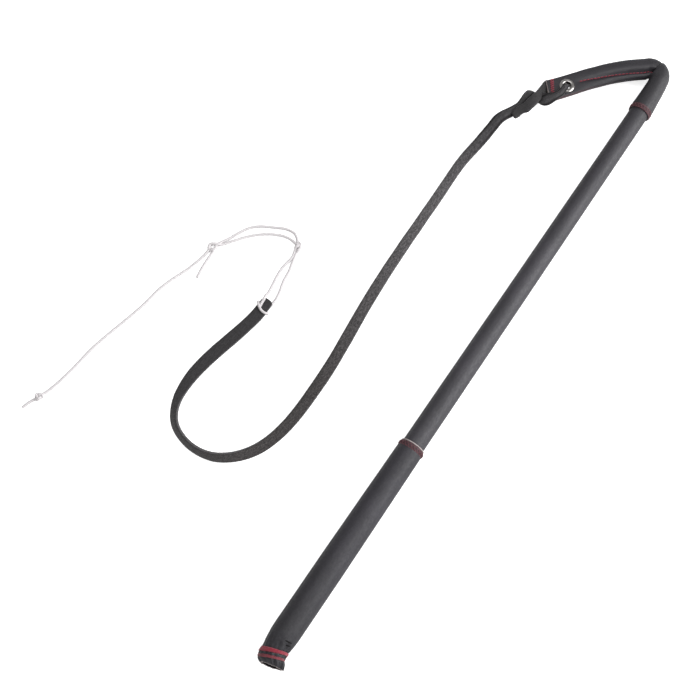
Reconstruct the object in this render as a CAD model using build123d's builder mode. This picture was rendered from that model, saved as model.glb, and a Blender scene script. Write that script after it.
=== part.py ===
from build123d import *
import math
import os
from itertools import accumulate

# Riding crop lying flat: a leather-covered stock on the X axis (butt at -X, tip
# at +X), a folded keeper at the tip, a flat leather lash led back on the +Y side
# and a cord cracker. Origin: centre of the constant-radius part of the grip, on
# the stock's axis. +Z up. Millimetres; angles in degrees.

os.makedirs("parts", exist_ok=True)

GAP = 0.06               # assembly gap between nested layers

# ---- rod, wrap and shaft ----
ROD_X0, ROD_X1 = -38.0, 574.0
ROD_R0, ROD_R1 = 6.4, 4.6
CAP_X0 = 562.0           # open end of the tip cap
WRAP_X0, WRAP_X1 = -36.0, 561.5
COVER_X0 = 120.0         # the shaft cover starts inside the grip sleeve
SHAFT_X1 = 572.0
SHAFT_R0, SHAFT_R1 = 10.15, 9.25    # at the grip hem and at SHAFT_X1
SHAFT_T = 1.5

# ---- grip ----
GRIP_R = 12.6            # outside radius of the straight part of the grip
GRIP_HALF = 32.0         # half length of the straight part
GRIP_END_X = 157.0       # hem of the grip sleeve; the shaft tapers from here
GRIP_END_R = 11.7
SLEEVE_X1 = 151.4        # plain leather ends here, the overcast hem begins
SLEEVE_T = 1.7
PADDING_X1 = 118.0       # tip end of the padding
NECK_R = 10.2            # gathered neck below the butt
TAIL_X, TAIL_R = -63.5, 11.2
BIND_LEAN = 20.0         # lean of the butt bindings' planes

# ---- seams and overcast hems ----
SEAM_W, SEAM_D = 1.3, 0.7           # channel width and depth
SEAM_THREAD_W = 0.9
COVER_SEAM_X0, COVER_SEAM_X1 = 165.0, 548.0   # channel in the shaft cover
GRIP_SEAM_X0, GRIP_SEAM_X1 = -35.0, 149.0     # channel in the grip sleeve
COVER_THREAD_INSET = 2.0            # from the channel's ends
GRIP_THREAD_INSET = 1.0
HEM_X0, HEM_X1 = 151.5, 156.7       # overcast thread on the end of the sleeve
HEM_BORE = 10.22
HEM_STITCHES = 22
HEM_STITCH_L, HEM_STITCH_W = 4.6, 1.1
HEM_STITCH_SLANT = 0.35             # travel round the axis per unit along it

# ---- keeper ----
KRING_X0, KRING_X1 = 551.0, 556.4   # overcast thread at the keeper hem
KRING_R = 11.15
KRING_STITCH_R = 10.1               # where its stitches are seated
SOCKET_X0, SOCKET_X1 = 556.6, 589.0 # keeper tube on the rod tip
SOCKET_R0, SOCKET_R1 = 10.75, 10.3
SOCKET_BORE = 9.36                  # clears the shaft cover
FOLD = (589.6, 11.3)                # crease of the keeper, vertical axis
FOLD_DISC_R = 19.6
FOLD_Z = 3.4                        # half thickness of the inner fold
KEEP_W = 21.6                       # keeper width
EYE = (539.2, 72.1)                 # eyelet centre
EYE_Z = -2.6                        # mid height of the keeper at the eyelet
EYE_T = 5.2                         # keeper thickness at the eyelet
EYE_OR, EYE_IR = 7.4, 3.7
EYE_TOP, EYE_BOT = EYE_Z + EYE_T / 2, EYE_Z - EYE_T / 2  # flange and washer seats
BARREL_R = 4.4
EYE_HOLE_R = 4.5                    # hole in the tongue and in the washer
END_R = 21.4                        # keeper end, measured from the eyelet
END_HEADING = 142.0                 # direction from the eyelet to the keeper's end
END_SPREAD = 72.0                   # end arc on each side of that heading
THROUGH = 12.0                      # half height of cuts right through the keeper

# Tongue stations from the crease to the end:
# centre x, centre y, heading, thickness, mid height
TONGUE = [
    (596.9, 19.1, 130.0, 12.0, 0.0),
    (586.5, 32.0, 131.5, 11.2, -0.3),
    (573.0, 46.0, 137.0, 9.4, -1.0),
    (557.0, 60.0, 139.5, 7.2, -1.9),
    (539.2, 73.6, 141.5, EYE_T, EYE_Z),
    (521.0, 87.6, 142.0, 4.6, -2.7),
]

# Slot for the inner strip: tongue station, slot height
STRIP_SLOT = [(2, 2.0), (3, 1.8), (4, 1.6)]
SLOT_W = 16.4
STRIP_PLAY = 0.3                    # slot size less strip size, both ways

# Joints between the keeper's seam stitches: x, y
KEEPER_SEAM = [
    (590.5, 26.0), (584.6, 33.6), (578.4, 40.2), (571.6, 46.6),
    (564.4, 52.6), (557.2, 58.6), (550.4, 64.0),
]

# ---- lash ----
STRAP_T = 3.6                       # lash thickness
STRAP_Z0 = -12.45                   # underside of the lash, just off the table
TIP_Z0 = -10.95                     # the last link rests on the cord's turn round it
LINK_GAP = 1.3                      # half gap between lash links
LASH_START = 4.5                    # distance along the centreline to the first link
LASH_CUTS = [92.0, 200.0, 305.0, 396.0, 470.0, 556.0]   # joints along the centreline
LINK_H = [STRAP_T, STRAP_T, STRAP_T, STRAP_T, 5.0, 7.2, STRAP_T]
LOOP_HEADING = 146.0                # direction from the eyelet to the braid
ARM_REACH = 22.6                    # loop arms extend this far towards the braid
ARM_BACK = 2.8                      # and this far beyond the eyelet's centre
ARM_W, ARM_T = 6.2, 2.2
ARM_TOP = EYE_TOP + 1.3             # undersides of the upper and lower arms
ARM_BOT = EYE_BOT - 1.7 - ARM_T

# Centreline of the lash, root to tip: x, y, width
LASH = [
    (486.6, 106.8, 11.4), (478.4, 109.0, 11.0), (465.9, 110.3, 10.7), (453.2, 111.1, 10.9),
    (440.8, 112.2, 10.7), (428.6, 113.6, 10.6), (416.1, 114.4, 10.2), (403.8, 114.3, 10.0),
    (387.3, 113.8, 10.1), (371.0, 113.3, 10.1), (354.8, 113.1, 10.1), (338.7, 112.7, 10.3),
    (322.9, 112.5, 10.4), (307.0, 112.0, 10.4), (291.3, 111.5, 10.6), (275.7, 110.7, 10.8),
    (260.3, 109.7, 10.9), (244.9, 108.5, 11.0), (229.8, 107.0, 11.2), (214.6, 105.4, 11.3),
    (199.7, 103.9, 11.4), (184.8, 102.6, 11.4), (170.0, 101.8, 11.5), (155.4, 101.5, 11.4),
    (140.9, 101.4, 11.2), (126.5, 101.8, 11.0), (112.3, 103.1, 10.8), (98.3, 105.8, 10.5),
    (85.0, 110.2, 10.2), (73.0, 117.0, 9.8), (62.7, 126.3, 9.4), (54.9, 137.9, 9.0),
    (51.2, 151.7, 8.6), (51.8, 166.2, 8.2), (56.8, 180.1, 7.6), (63.2, 187.9, 7.6),
    (70.8, 193.0, 8.2), (80.7, 196.8, 9.6), (91.4, 198.6, 10.6), (105.9, 199.1, 11.6),
    (120.2, 197.6, 12.3), (134.4, 194.9, 12.6), (148.5, 191.5, 12.6), (162.5, 188.2, 12.4),
    (177.0, 185.5, 12.2), (184.4, 184.6, 12.2), (201.4, 184.3, 11.4),
]

# Blocks of the braid: distance from the eyelet, sideways shift (+ is left of the
# loop heading), length, width, height, mid height
BRAID = [
    (28.4, 0.0, 10.4, 18.4, 12.0, -3.0),
    (38.6, 0.6, 11.6, 17.6, 11.6, -4.6),
    (49.0, -0.4, 11.4, 15.2, 10.4, -6.2),
]

# ---- cracker ----
CORD_R = 1.05
CORD_Z = STRAP_Z0 + CORD_R + 0.1    # cord centre height where it lies on the table
HITCH_L = 2.6                       # length of the cord's turn along the strap

# Centrelines of the cord lengths: name, then x, y points
CORDS = {
    # two strands from the strap's end to the first knot
    "cracker_strand_left": [
        (207.2, 187.6), (213.5, 189.4), (224.8, 191.7), (235.5, 192.9), (246.8, 192.4),
        (255.3, 193.4),
    ],
    "cracker_strand_right": [
        (207.0, 180.2), (213.5, 180.8), (225.1, 184.4), (235.9, 186.0), (246.6, 188.4),
        (255.3, 190.4),
    ],
    # the eye of the cracker, between the first and second knots
    "cracker_eye_outer": [
        (263.4, 195.9), (267.9, 199.6), (270.2, 205.0), (268.6, 213.6), (263.9, 222.5),
        (258.2, 232.4), (251.6, 240.0), (241.6, 245.9), (231.9, 250.3), (222.8, 254.8),
    ],
    "cracker_eye_inner": [
        (261.2, 197.2), (262.6, 204.6), (260.2, 214.2), (253.7, 225.6), (243.9, 236.0),
        (234.0, 243.9), (225.0, 250.4), (221.3, 253.1),
    ],
    "cracker_short_tail": [(211.4, 255.8), (203.0, 254.9), (195.5, 253.6), (184.1, 251.9)],
    # long tail in two lengths
    "cracker_tail_1": [
        (211.5, 259.7), (201.7, 260.3), (186.3, 264.0), (168.5, 270.4), (154.7, 273.8),
        (134.1, 276.6), (113.6, 280.6),
    ],
    "cracker_tail_2": [
        (111.6, 281.0), (94.0, 285.4), (75.9, 288.6), (52.9, 291.3), (29.9, 294.9),
        (16.8, 298.6),
    ],
    # short free end beyond the last knot
    "cracker_end": [(9.2, 301.4), (4.0, 304.0), (-2.1, 305.6)],
}

# Knots: name, x, y, centre height above the cord's centre, radius
KNOTS = [
    ("cracker_knot_1", 259.8, 193.0, 1.3, 2.9),
    ("cracker_knot_2", 216.1, 257.6, 2.6, 4.4),
    ("cracker_knot_3", 12.9, 299.8, 1.7, 3.5),
]


# ==================== helpers ====================
# A sketch or line builder joins a part only in the same function, so each of
# the shape helpers below builds a whole piece.

def save(part, name):
    part.label = name
    export_step(part, f"parts/{name}.step")


def turned(name, profile, channel=None):
    """Piece turned about X from (x, radius) points, with an optional seam
    channel cut through an (x, z) outline."""
    with BuildPart() as piece:
        with BuildSketch(Plane.XY):
            with BuildLine():
                Polyline(*profile, close=True)
            make_face()
        revolve(axis=Axis.X)
        if channel:
            with BuildSketch(Plane.XZ):
                with BuildLine():
                    Polyline(*channel, close=True)
                make_face()
            extrude(amount=SEAM_W / 2, both=True, mode=Mode.SUBTRACT)
    save(piece.part, name)


def seam_thread(name, outline):
    """Straight thread centred on Y = 0, from (x, z) points."""
    with BuildPart() as thread:
        with BuildSketch(Plane.XZ):
            with BuildLine():
                Polyline(*outline, close=True)
            make_face()
        extrude(amount=SEAM_THREAD_W / 2, both=True)
    save(thread.part, name)


def radial_plane(x, radius, angle, along, around):
    """Plane facing out from the X axis, at an angle from +Y towards +Z. Its own
    x direction mixes travel along the axis and around it."""
    cosine, sine = math.cos(math.radians(angle)), math.sin(math.radians(angle))
    return Plane(
        origin=(x, radius * cosine, radius * sine),
        x_dir=(along, -around * sine, around * cosine),
        z_dir=(0, cosine, sine),
    )


def overcast_ring(name, profile, stitch_r, stitch_h):
    """Thin core ring with slanted stitches standing on it."""
    middle = (profile[0][0] + profile[-1][0]) / 2
    with BuildPart() as ring:
        with BuildSketch(Plane.XY):
            with BuildLine():
                Polyline(*profile, close=True)
            make_face()
        revolve(axis=Axis.X)
        for i in range(HEM_STITCHES):
            angle = 360.0 / HEM_STITCHES * i
            with BuildSketch(radial_plane(middle, stitch_r, angle, 1, HEM_STITCH_SLANT)):
                SlotOverall(HEM_STITCH_L, HEM_STITCH_W)
            extrude(amount=stitch_h)
    save(ring.part, name)


def polar(centre, radius, angle):
    return (
        centre[0] + radius * math.cos(math.radians(angle)),
        centre[1] + radius * math.sin(math.radians(angle)),
    )


def rod_r(x):
    return ROD_R0 + (ROD_R1 - ROD_R0) * (x - ROD_X0) / (ROD_X1 - ROD_X0)


def shaft_r(x):
    return SHAFT_R0 + (SHAFT_R1 - SHAFT_R0) * (x - GRIP_END_X) / (SHAFT_X1 - GRIP_END_X)


# ==================== stock ====================

# tapered core rod
with BuildPart() as core_rod:
    for x, radius in ((ROD_X0, ROD_R0), (ROD_X1, ROD_R1)):
        with BuildSketch(Plane.YZ.offset(x)):
            Circle(radius)
    loft()
save(core_rod.part, "core_rod")

# metal cap that closes the rod tip
turned("tip_cap", [
    (CAP_X0, rod_r(CAP_X0) + GAP), (CAP_X0, 6.6), (576.0, 6.4), (578.0, 5.2),
    (578.6, 0.0), (ROD_X1 + GAP, 0.0), (ROD_X1 + GAP, ROD_R1 + GAP),
])

# cord wrap laid on the rod, from near the butt up to the tip cap
WRAP_R0 = SHAFT_R0 - SHAFT_T - GAP
turned("rod_wrap", [
    (WRAP_X0, rod_r(WRAP_X0) + GAP), (WRAP_X0, WRAP_R0), (GRIP_END_X, WRAP_R0),
    (WRAP_X1, shaft_r(WRAP_X1) - SHAFT_T - GAP), (WRAP_X1, rod_r(WRAP_X1) + GAP),
])

# stitched leather cover of the shaft, with a seam channel underneath
turned(
    "shaft_cover",
    [
        (COVER_X0, SHAFT_R0 - SHAFT_T), (COVER_X0, SHAFT_R0), (GRIP_END_X, SHAFT_R0),
        (SHAFT_X1, SHAFT_R1), (SHAFT_X1, SHAFT_R1 - SHAFT_T),
        (GRIP_END_X, SHAFT_R0 - SHAFT_T),
    ],
    channel=[
        (COVER_SEAM_X0, -shaft_r(COVER_SEAM_X0) - 1.0),
        (COVER_SEAM_X1, -shaft_r(COVER_SEAM_X1) - 1.0),
        (COVER_SEAM_X1, -shaft_r(COVER_SEAM_X1) + SEAM_D),
        (COVER_SEAM_X0, -shaft_r(COVER_SEAM_X0) + SEAM_D),
    ],
)

# thread of the shaft seam, laid in the channel
thread_x0 = COVER_SEAM_X0 + COVER_THREAD_INSET
thread_x1 = COVER_SEAM_X1 - COVER_THREAD_INSET
seam_thread("shaft_seam_thread", [
    (thread_x0, -shaft_r(thread_x0) + 0.1), (thread_x1, -shaft_r(thread_x1) + 0.1),
    (thread_x1, -shaft_r(thread_x1) + SEAM_D - 0.03),
    (thread_x0, -shaft_r(thread_x0) + SEAM_D - 0.03),
])

# tapered felt padding between the wrap and the grip sleeve
PADDING_BORE = SHAFT_R0 - SHAFT_T + GAP
turned("grip_padding", [
    (WRAP_X0, PADDING_BORE), (WRAP_X0, GRIP_R - SLEEVE_T - GAP),
    (GRIP_HALF, GRIP_R - SLEEVE_T - GAP), (PADDING_X1, 10.35), (PADDING_X1, PADDING_BORE),
])

# turned plug that gives the butt its rounded end under the leather
turned("butt_plug", [
    (-38.2, 0.0), (-38.2, 10.6), (-41.0, 10.1), (-44.0, 9.0), (-46.5, 7.9), (-47.5, 0.0),
])

# leather grip sleeve: straight grip, taper to the hem, gathered neck, open tail
turned(
    "grip_sleeve",
    [
        # outside, hem to tail
        (SLEEVE_X1, GRIP_END_R), (112.0, 12.05), (72.0, 12.35), (GRIP_HALF, GRIP_R),
        (-GRIP_HALF, GRIP_R), (-37.0, 12.45), (-41.5, 11.9), (-45.0, 10.9), (-47.5, NECK_R),
        (-57.0, NECK_R), (-60.0, 10.5), (TAIL_X, TAIL_R),
        # inside, tail to hem
        (TAIL_X, TAIL_R - SLEEVE_T), (-60.0, 8.8), (-57.0, 8.4), (-48.0, 8.4), (-45.0, 9.1),
        (-41.5, 10.2), (-38.0, 10.8), (WRAP_X0, GRIP_R - SLEEVE_T),
        (GRIP_HALF, GRIP_R - SLEEVE_T), (PADDING_X1, 10.4), (SLEEVE_X1, SHAFT_R0 + GAP),
    ],
    channel=[
        (GRIP_SEAM_X0, -13.5), (GRIP_SEAM_X1, -13.5), (GRIP_SEAM_X1, -GRIP_END_R + SEAM_D),
        (GRIP_HALF, -GRIP_R + SEAM_D), (GRIP_SEAM_X0, -GRIP_R + SEAM_D),
    ],
)

# thread of the grip seam, below the surface of the grip
thread_x0 = GRIP_SEAM_X0 + GRIP_THREAD_INSET
thread_x1 = GRIP_SEAM_X1 - GRIP_THREAD_INSET
seam_thread("grip_seam_thread", [
    (thread_x0, -GRIP_R + 0.15), (GRIP_HALF, -GRIP_R + 0.15), (thread_x1, -GRIP_END_R + 0.12),
    (thread_x1, -GRIP_END_R + SEAM_D - 0.06), (GRIP_HALF, -GRIP_R + SEAM_D - 0.04),
    (thread_x0, -GRIP_R + SEAM_D - 0.04),
])

# folded edge strip at the hem
turned("grip_hem_edge", [(156.8, HEM_BORE), (156.8, 11.5), (157.9, 11.2), (157.9, HEM_BORE)])

# overcast thread round the hem
overcast_ring(
    "grip_hem_thread",
    [(HEM_X0, HEM_BORE), (HEM_X0, 11.45), (HEM_X1, 11.4), (HEM_X1, HEM_BORE)],
    stitch_r=11.2,
    stitch_h=0.8,
)


# thread bindings that tie the gathered butt, cut by leaning planes
def leaning_plane(x):
    lean = math.radians(BIND_LEAN)
    return Plane(origin=(x, 0, 0), x_dir=(0, 0, 1), z_dir=(math.cos(lean), math.sin(lean), 0))


def binding(name, x0, x1, radius, tip_cut_x, butt_cut_x=None):
    """Ring from x0 to x1, trimmed on its tip side and, if given, its butt side."""
    bore = NECK_R + GAP
    with BuildPart() as ring:
        with BuildSketch(Plane.XY):
            with BuildLine():
                Polyline((x0, bore), (x0, radius), (x1, radius), (x1, bore), close=True)
            make_face()
        revolve(axis=Axis.X)
        split(bisect_by=leaning_plane(tip_cut_x), keep=Keep.BOTTOM)
        if butt_cut_x is not None:
            split(bisect_by=leaning_plane(butt_cut_x), keep=Keep.TOP)
    save(ring.part, name)


binding("butt_binding_upper", -56.9, -47.6, 11.7, tip_cut_x=-50.2, butt_cut_x=-53.0)
binding("butt_binding_lower", -56.95, -54.9, 11.0, tip_cut_x=-53.25)

# two short tacking stitches beside the butt, on the upper -Y side
TACKS = [(-40.2, 140.0, 12.16), (-42.2, 128.0, 11.86)]   # x, angle from +Y, radius
with BuildPart() as tack_stitches:
    for x, angle, radius in TACKS:
        with BuildSketch(radial_plane(x, radius, angle, 0.25, 1)):
            SlotOverall(3.2, 0.9)
        extrude(amount=0.25)
save(tack_stitches.part, "tack_stitches")

# ==================== keeper ====================

# overcast thread round the keeper's hem
overcast_ring(
    "keeper_ring_thread",
    [(KRING_X0, SOCKET_BORE), (KRING_X0, 10.3), (KRING_X1, 10.4), (KRING_X1, SOCKET_BORE)],
    stitch_r=KRING_STITCH_R,
    stitch_h=KRING_R - KRING_STITCH_R,
)

# keeper tube, drawn over the end of the shaft up to the crease
turned("keeper_socket", [
    (SOCKET_X0, SOCKET_BORE), (SOCKET_X0, SOCKET_R0), (SOCKET_X1, SOCKET_R1),
    (SOCKET_X1, SOCKET_R1 - 1.5), (573.0, 9.0), (573.0, SOCKET_BORE),
])

# inner fold of the keeper: the leather turned round the crease, inside the tongue
FOLD_A0, FOLD_A1 = -88.0, 36.0      # sector angles
with BuildPart() as keeper_fold_lining:
    with BuildSketch(Plane.XY.offset(-FOLD_Z)):
        with BuildLine():
            corner = (FOLD[0] + 0.9, FOLD[1] - 3.2)
            arc_start = polar(FOLD, FOLD_DISC_R, FOLD_A0)
            arc_middle = polar(FOLD, FOLD_DISC_R, (FOLD_A0 + FOLD_A1) / 2)
            arc_end = polar(FOLD, FOLD_DISC_R, FOLD_A1)
            Line(corner, arc_start)
            ThreePointArc(arc_start, arc_middle, arc_end)
            Line(arc_end, corner)
        make_face()
    extrude(amount=2 * FOLD_Z)
save(keeper_fold_lining.part, "keeper_fold_lining")


def tongue_plane(station):
    """Cross-section plane of the tongue, facing along its heading."""
    x, y, heading, _, z = TONGUE[station]
    cosine, sine = math.cos(math.radians(heading)), math.sin(math.radians(heading))
    return Plane(origin=(x, y, z), x_dir=(sine, -cosine, 0), z_dir=(cosine, sine, 0))


with BuildPart() as keeper_tongue:
    for k, (_, _, _, thickness, _) in enumerate(TONGUE):
        with BuildSketch(tongue_plane(k)):
            RectangleRounded(KEEP_W, thickness, thickness * 0.42)
    loft()
    # pocket that clears the inner fold while the keeper swings straight
    with BuildSketch(Plane.XY.offset(-FOLD_Z - 0.25)):
        with Locations(FOLD):
            Circle(FOLD_DISC_R + 0.4)
    extrude(amount=2 * FOLD_Z + 0.5, mode=Mode.SUBTRACT)
    # slot for the inner strip
    for k, slot_h in STRIP_SLOT:
        with BuildSketch(tongue_plane(k)):
            Rectangle(SLOT_W, slot_h)
    loft(mode=Mode.SUBTRACT)
    # eyelet hole
    with BuildSketch(Plane.XY.offset(-THROUGH)):
        with Locations(EYE):
            Circle(EYE_HOLE_R)
    extrude(amount=2 * THROUGH, mode=Mode.SUBTRACT)
    # seats pressed into both faces by the eyelet
    for seat_z, cut in ((EYE_TOP - 0.03, THROUGH), (EYE_BOT + 0.03, -THROUGH)):
        with BuildSketch(Plane.XY.offset(seat_z)):
            with Locations(EYE):
                Circle(EYE_OR + 0.1)
        extrude(amount=cut, mode=Mode.SUBTRACT)
    # rounded end: everything beyond the end arc is cut away
    with BuildSketch(Plane.XY.offset(-THROUGH)):
        with BuildLine():
            end_angles = [END_HEADING - END_SPREAD, END_HEADING, END_HEADING + END_SPREAD]
            near = [polar(EYE, END_R, angle) for angle in end_angles]
            far = [polar(EYE, 60, angle) for angle in end_angles]
            ThreePointArc(*near)
            Polyline(near[2], far[2], far[1], far[0], near[0])
        make_face()
    extrude(amount=2 * THROUGH, mode=Mode.SUBTRACT)
save(keeper_tongue.part, "keeper_tongue")

# flat strip inside the tongue; it stiffens the keeper
with BuildPart() as keeper_inner_strip:
    for k, slot_h in STRIP_SLOT:
        with BuildSketch(tongue_plane(k)):
            Rectangle(SLOT_W - STRIP_PLAY, slot_h - STRIP_PLAY)
    loft()
    # clear the eyelet and the inner fold
    for centre, radius in ((EYE, EYE_HOLE_R + 0.1), (FOLD, FOLD_DISC_R + 0.6)):
        with BuildSketch(Plane.XY.offset(-THROUGH)):
            with Locations(centre):
                Circle(radius)
        extrude(amount=2 * THROUGH, mode=Mode.SUBTRACT)
save(keeper_inner_strip.part, "keeper_inner_strip")

# eyelet: flanged barrel from above, clenched washer below
with BuildPart() as eyelet_barrel:
    with BuildSketch(Plane.XY.offset(EYE_TOP)):
        with Locations(EYE):
            Circle(EYE_OR)
            Circle(EYE_IR, mode=Mode.SUBTRACT)
    extrude(amount=0.9)
    with BuildSketch(Plane.XY.offset(EYE_BOT - 1.2)):
        with Locations(EYE):
            Circle(BARREL_R)
            Circle(EYE_IR, mode=Mode.SUBTRACT)
    extrude(amount=EYE_TOP - EYE_BOT + 1.3)
save(eyelet_barrel.part, "eyelet_barrel")

with BuildPart() as eyelet_washer:
    with BuildSketch(Plane.XY.offset(EYE_BOT - 1.0)):
        with Locations(EYE):
            Circle(EYE_OR - 0.3)
            Circle(EYE_HOLE_R, mode=Mode.SUBTRACT)
    extrude(amount=0.95)
save(eyelet_washer.part, "eyelet_washer")


def tongue_top(x, y):
    """Height of the tongue's upper face at the nearest point of its centreline."""
    candidates = []
    for (x0, y0, _, thick0, z0), (x1, y1, _, thick1, z1) in zip(TONGUE, TONGUE[1:]):
        run_x, run_y = x1 - x0, y1 - y0
        blend = ((x - x0) * run_x + (y - y0) * run_y) / (run_x ** 2 + run_y ** 2)
        blend = max(0.0, min(1.0, blend))
        distance = math.hypot(x - x0 - blend * run_x, y - y0 - blend * run_y)
        height = (z0 + thick0 / 2) * (1 - blend) + (z1 + thick1 / 2) * blend
        candidates.append((distance, height))
    return min(candidates)[1]


# seam stitches along the upper face of the keeper
with BuildPart() as keeper_seam_thread:
    for (x0, y0), (x1, y1) in zip(KEEPER_SEAM, KEEPER_SEAM[1:]):
        x, y = (x0 + x1) / 2, (y0 + y1) / 2
        with BuildSketch(Plane(origin=(x, y, tongue_top(x, y) + 0.45),
                               x_dir=(x1 - x0, y1 - y0, 0), z_dir=(0, 0, 1))):
            SlotOverall(math.hypot(x1 - x0, y1 - y0) - 1.2, 1.1)
        extrude(amount=0.6)
save(keeper_seam_thread.part, "keeper_seam_thread")

# stitch row across the keeper's end
END_STITCHES, END_STITCH_PITCH = 5, 3.4
END_STITCH_DIST = 17.2              # row distance from the eyelet
with BuildPart() as keeper_end_stitches:
    for k in range(END_STITCHES):
        shift = (k - (END_STITCHES - 1) / 2) * END_STITCH_PITCH
        row_centre = polar(EYE, END_STITCH_DIST, END_HEADING)
        x, y = polar(row_centre, shift, END_HEADING - 90)
        across = polar((0, 0), 1, END_HEADING - 90)
        with BuildSketch(Plane(origin=(x, y, -0.25), x_dir=(*across, 0), z_dir=(0, 0, 1))):
            SlotOverall(2.6, 0.9)
        extrude(amount=0.45)
save(keeper_end_stitches.part, "keeper_end_stitches")

# ==================== lash ====================

LOOP_DIR = polar((0, 0), 1, LOOP_HEADING)


def loop_plane(x, y, z):
    """Level plane whose x direction runs from the eyelet to the braid."""
    return Plane(origin=(x, y, z), x_dir=(*LOOP_DIR, 0), z_dir=(0, 0, 1))


# loop of the lash through the eyelet: one arm above the keeper, one below
with BuildPart() as lash_loop:
    for arm_z in (ARM_TOP, ARM_BOT):
        with BuildSketch(loop_plane(*EYE, arm_z)):
            with Locations(((ARM_REACH - ARM_BACK) / 2, 0)):
                SlotOverall(ARM_REACH + ARM_BACK, ARM_W)
        extrude(amount=ARM_T)
    # the strap's passage through the eyelet
    with BuildSketch(Plane.XY.offset(ARM_BOT + 0.5)):
        with Locations(EYE):
            Circle(2.7)
    extrude(amount=ARM_TOP - ARM_BOT)
save(lash_loop.part, "lash_loop")

# slit braid that locks the loop: three overlapping rounded blocks
with BuildPart() as lash_braid:
    for distance, side, length, width, height, z in BRAID:
        x = EYE[0] + distance * LOOP_DIR[0] - side * LOOP_DIR[1]
        y = EYE[1] + distance * LOOP_DIR[1] + side * LOOP_DIR[0]
        with BuildSketch(loop_plane(x, y, z - height / 2)):
            RectangleRounded(length, width, 4.6)
        extrude(amount=height)
    chamfer(lash_braid.edges().filter_by(Plane.XY).group_by(Axis.Z)[-1], 1.2)
save(lash_braid.part, "lash_braid")

# distance along the centreline of each lash point
LASH_DIST = list(accumulate(
    (math.dist(start[:2], end[:2]) for start, end in zip(LASH, LASH[1:])), initial=0.0,
))
LASH_LEN = LASH_DIST[-1]


def unit(start, end):
    run_x, run_y = end[0] - start[0], end[1] - start[1]
    length = math.hypot(run_x, run_y)
    return run_x / length, run_y / length


def lash_at(distance):
    """Centre, heading (unit vector) and width at a distance along the lash."""
    last = len(LASH) - 2
    i = next((i for i in range(last) if distance <= LASH_DIST[i + 1]), last)
    blend = (distance - LASH_DIST[i]) / (LASH_DIST[i + 1] - LASH_DIST[i])
    x, y, width = (a + (b - a) * blend for a, b in zip(LASH[i], LASH[i + 1]))
    # each point's heading follows the chord between its neighbours
    start_dir = unit(LASH[max(i - 1, 0)], LASH[i + 1])
    end_dir = unit(LASH[i], LASH[min(i + 2, len(LASH) - 1)])
    mixed = [a * (1 - blend) + b * blend for a, b in zip(start_dir, end_dir)]
    return (x, y), unit((0, 0), mixed), width


def link_outline(start, end, start_gap, end_gap):
    """Left and right edge points of a link, and the tips of its half-round ends.
    An end without a gap is square, and is not shortened for its rounding."""
    if start_gap:
        start += start_gap + lash_at(start)[2] / 2
    if end_gap:
        end -= end_gap + lash_at(end)[2] / 2
    steps = max(4, int((end - start) / 9.0))
    left, right = [], []
    for i in range(steps + 1):
        (x, y), (dir_x, dir_y), width = lash_at(start + (end - start) * i / steps)
        left.append((x - dir_y * width / 2, y + dir_x * width / 2))
        right.append((x + dir_y * width / 2, y - dir_x * width / 2))
    tips = []
    for distance, sign in ((start, -1), (end, 1)):
        (x, y), (dir_x, dir_y), width = lash_at(distance)
        tips.append((x + sign * dir_x * width / 2, y + sign * dir_y * width / 2))
    return left, right, *tips


# free end of the strap, lying on top of the first length
with BuildPart() as lash_end_tab:
    tab_dir = lash_at(7.0)[1]
    with BuildSketch(Plane(origin=(484.6, 103.9, STRAP_Z0 + STRAP_T + 0.2),
                           x_dir=(*tab_dir, 0), z_dir=(0, 0, 1))):
        RectangleRounded(13.0, 9.6, 3.0)
    extrude(amount=3.4)
save(lash_end_tab.part, "lash_end_tab")


# the strap, as links that meet at the flex joints; only its two ends are square
def strap_link(number, start, end, height):
    is_first, is_last = number == 1, number == len(LINK_H)
    left, right, start_tip, end_tip = link_outline(
        start, end, 0.0 if is_first else LINK_GAP, 0.0 if is_last else LINK_GAP,
    )
    underside = TIP_Z0 if is_last else STRAP_Z0
    with BuildPart() as link:
        with BuildSketch(Plane.XY.offset(underside)):
            with BuildLine():
                Spline(*left)
                if is_last:
                    Line(left[-1], right[-1])
                else:
                    ThreePointArc(left[-1], end_tip, right[-1])
                Spline(*right[::-1])
                if is_first:
                    Line(right[0], left[0])
                else:
                    ThreePointArc(right[0], start_tip, left[0])
            make_face()
        extrude(amount=height)
        if is_last:
            # slit that takes the cracker's cord
            (x, y), slit_dir, _ = lash_at(LASH_LEN - 8.0)
            with BuildSketch(Plane(origin=(x, y, underside - 1),
                                   x_dir=(*slit_dir, 0), z_dir=(0, 0, 1))):
                SlotOverall(11.0, 2.6)
            extrude(amount=6, mode=Mode.SUBTRACT)
    save(link.part, f"lash_strap_{number}")


joints = [LASH_START, *LASH_CUTS, LASH_LEN]
for i, link_h in enumerate(LINK_H):
    strap_link(i + 1, joints[i], joints[i + 1], link_h)

# ==================== cracker ====================

# hitch: the cord's turn round the strap, on the root side of the slit
with BuildPart() as cracker_hitch:
    (x, y), (dir_x, dir_y), strap_w = lash_at(LASH_LEN - 16.5)
    with BuildSketch(Plane(
        origin=(x - dir_x * HITCH_L / 2, y - dir_y * HITCH_L / 2, TIP_Z0 + STRAP_T / 2),
        x_dir=(-dir_y, dir_x, 0),
        z_dir=(dir_x, dir_y, 0),
    )):
        RectangleRounded(strap_w + 3.4, STRAP_T + 2.8, 1.6)
        RectangleRounded(strap_w + 0.6, STRAP_T + 0.3, 0.1, mode=Mode.SUBTRACT)
    extrude(amount=HITCH_L)
save(cracker_hitch.part, "cracker_hitch")


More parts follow.
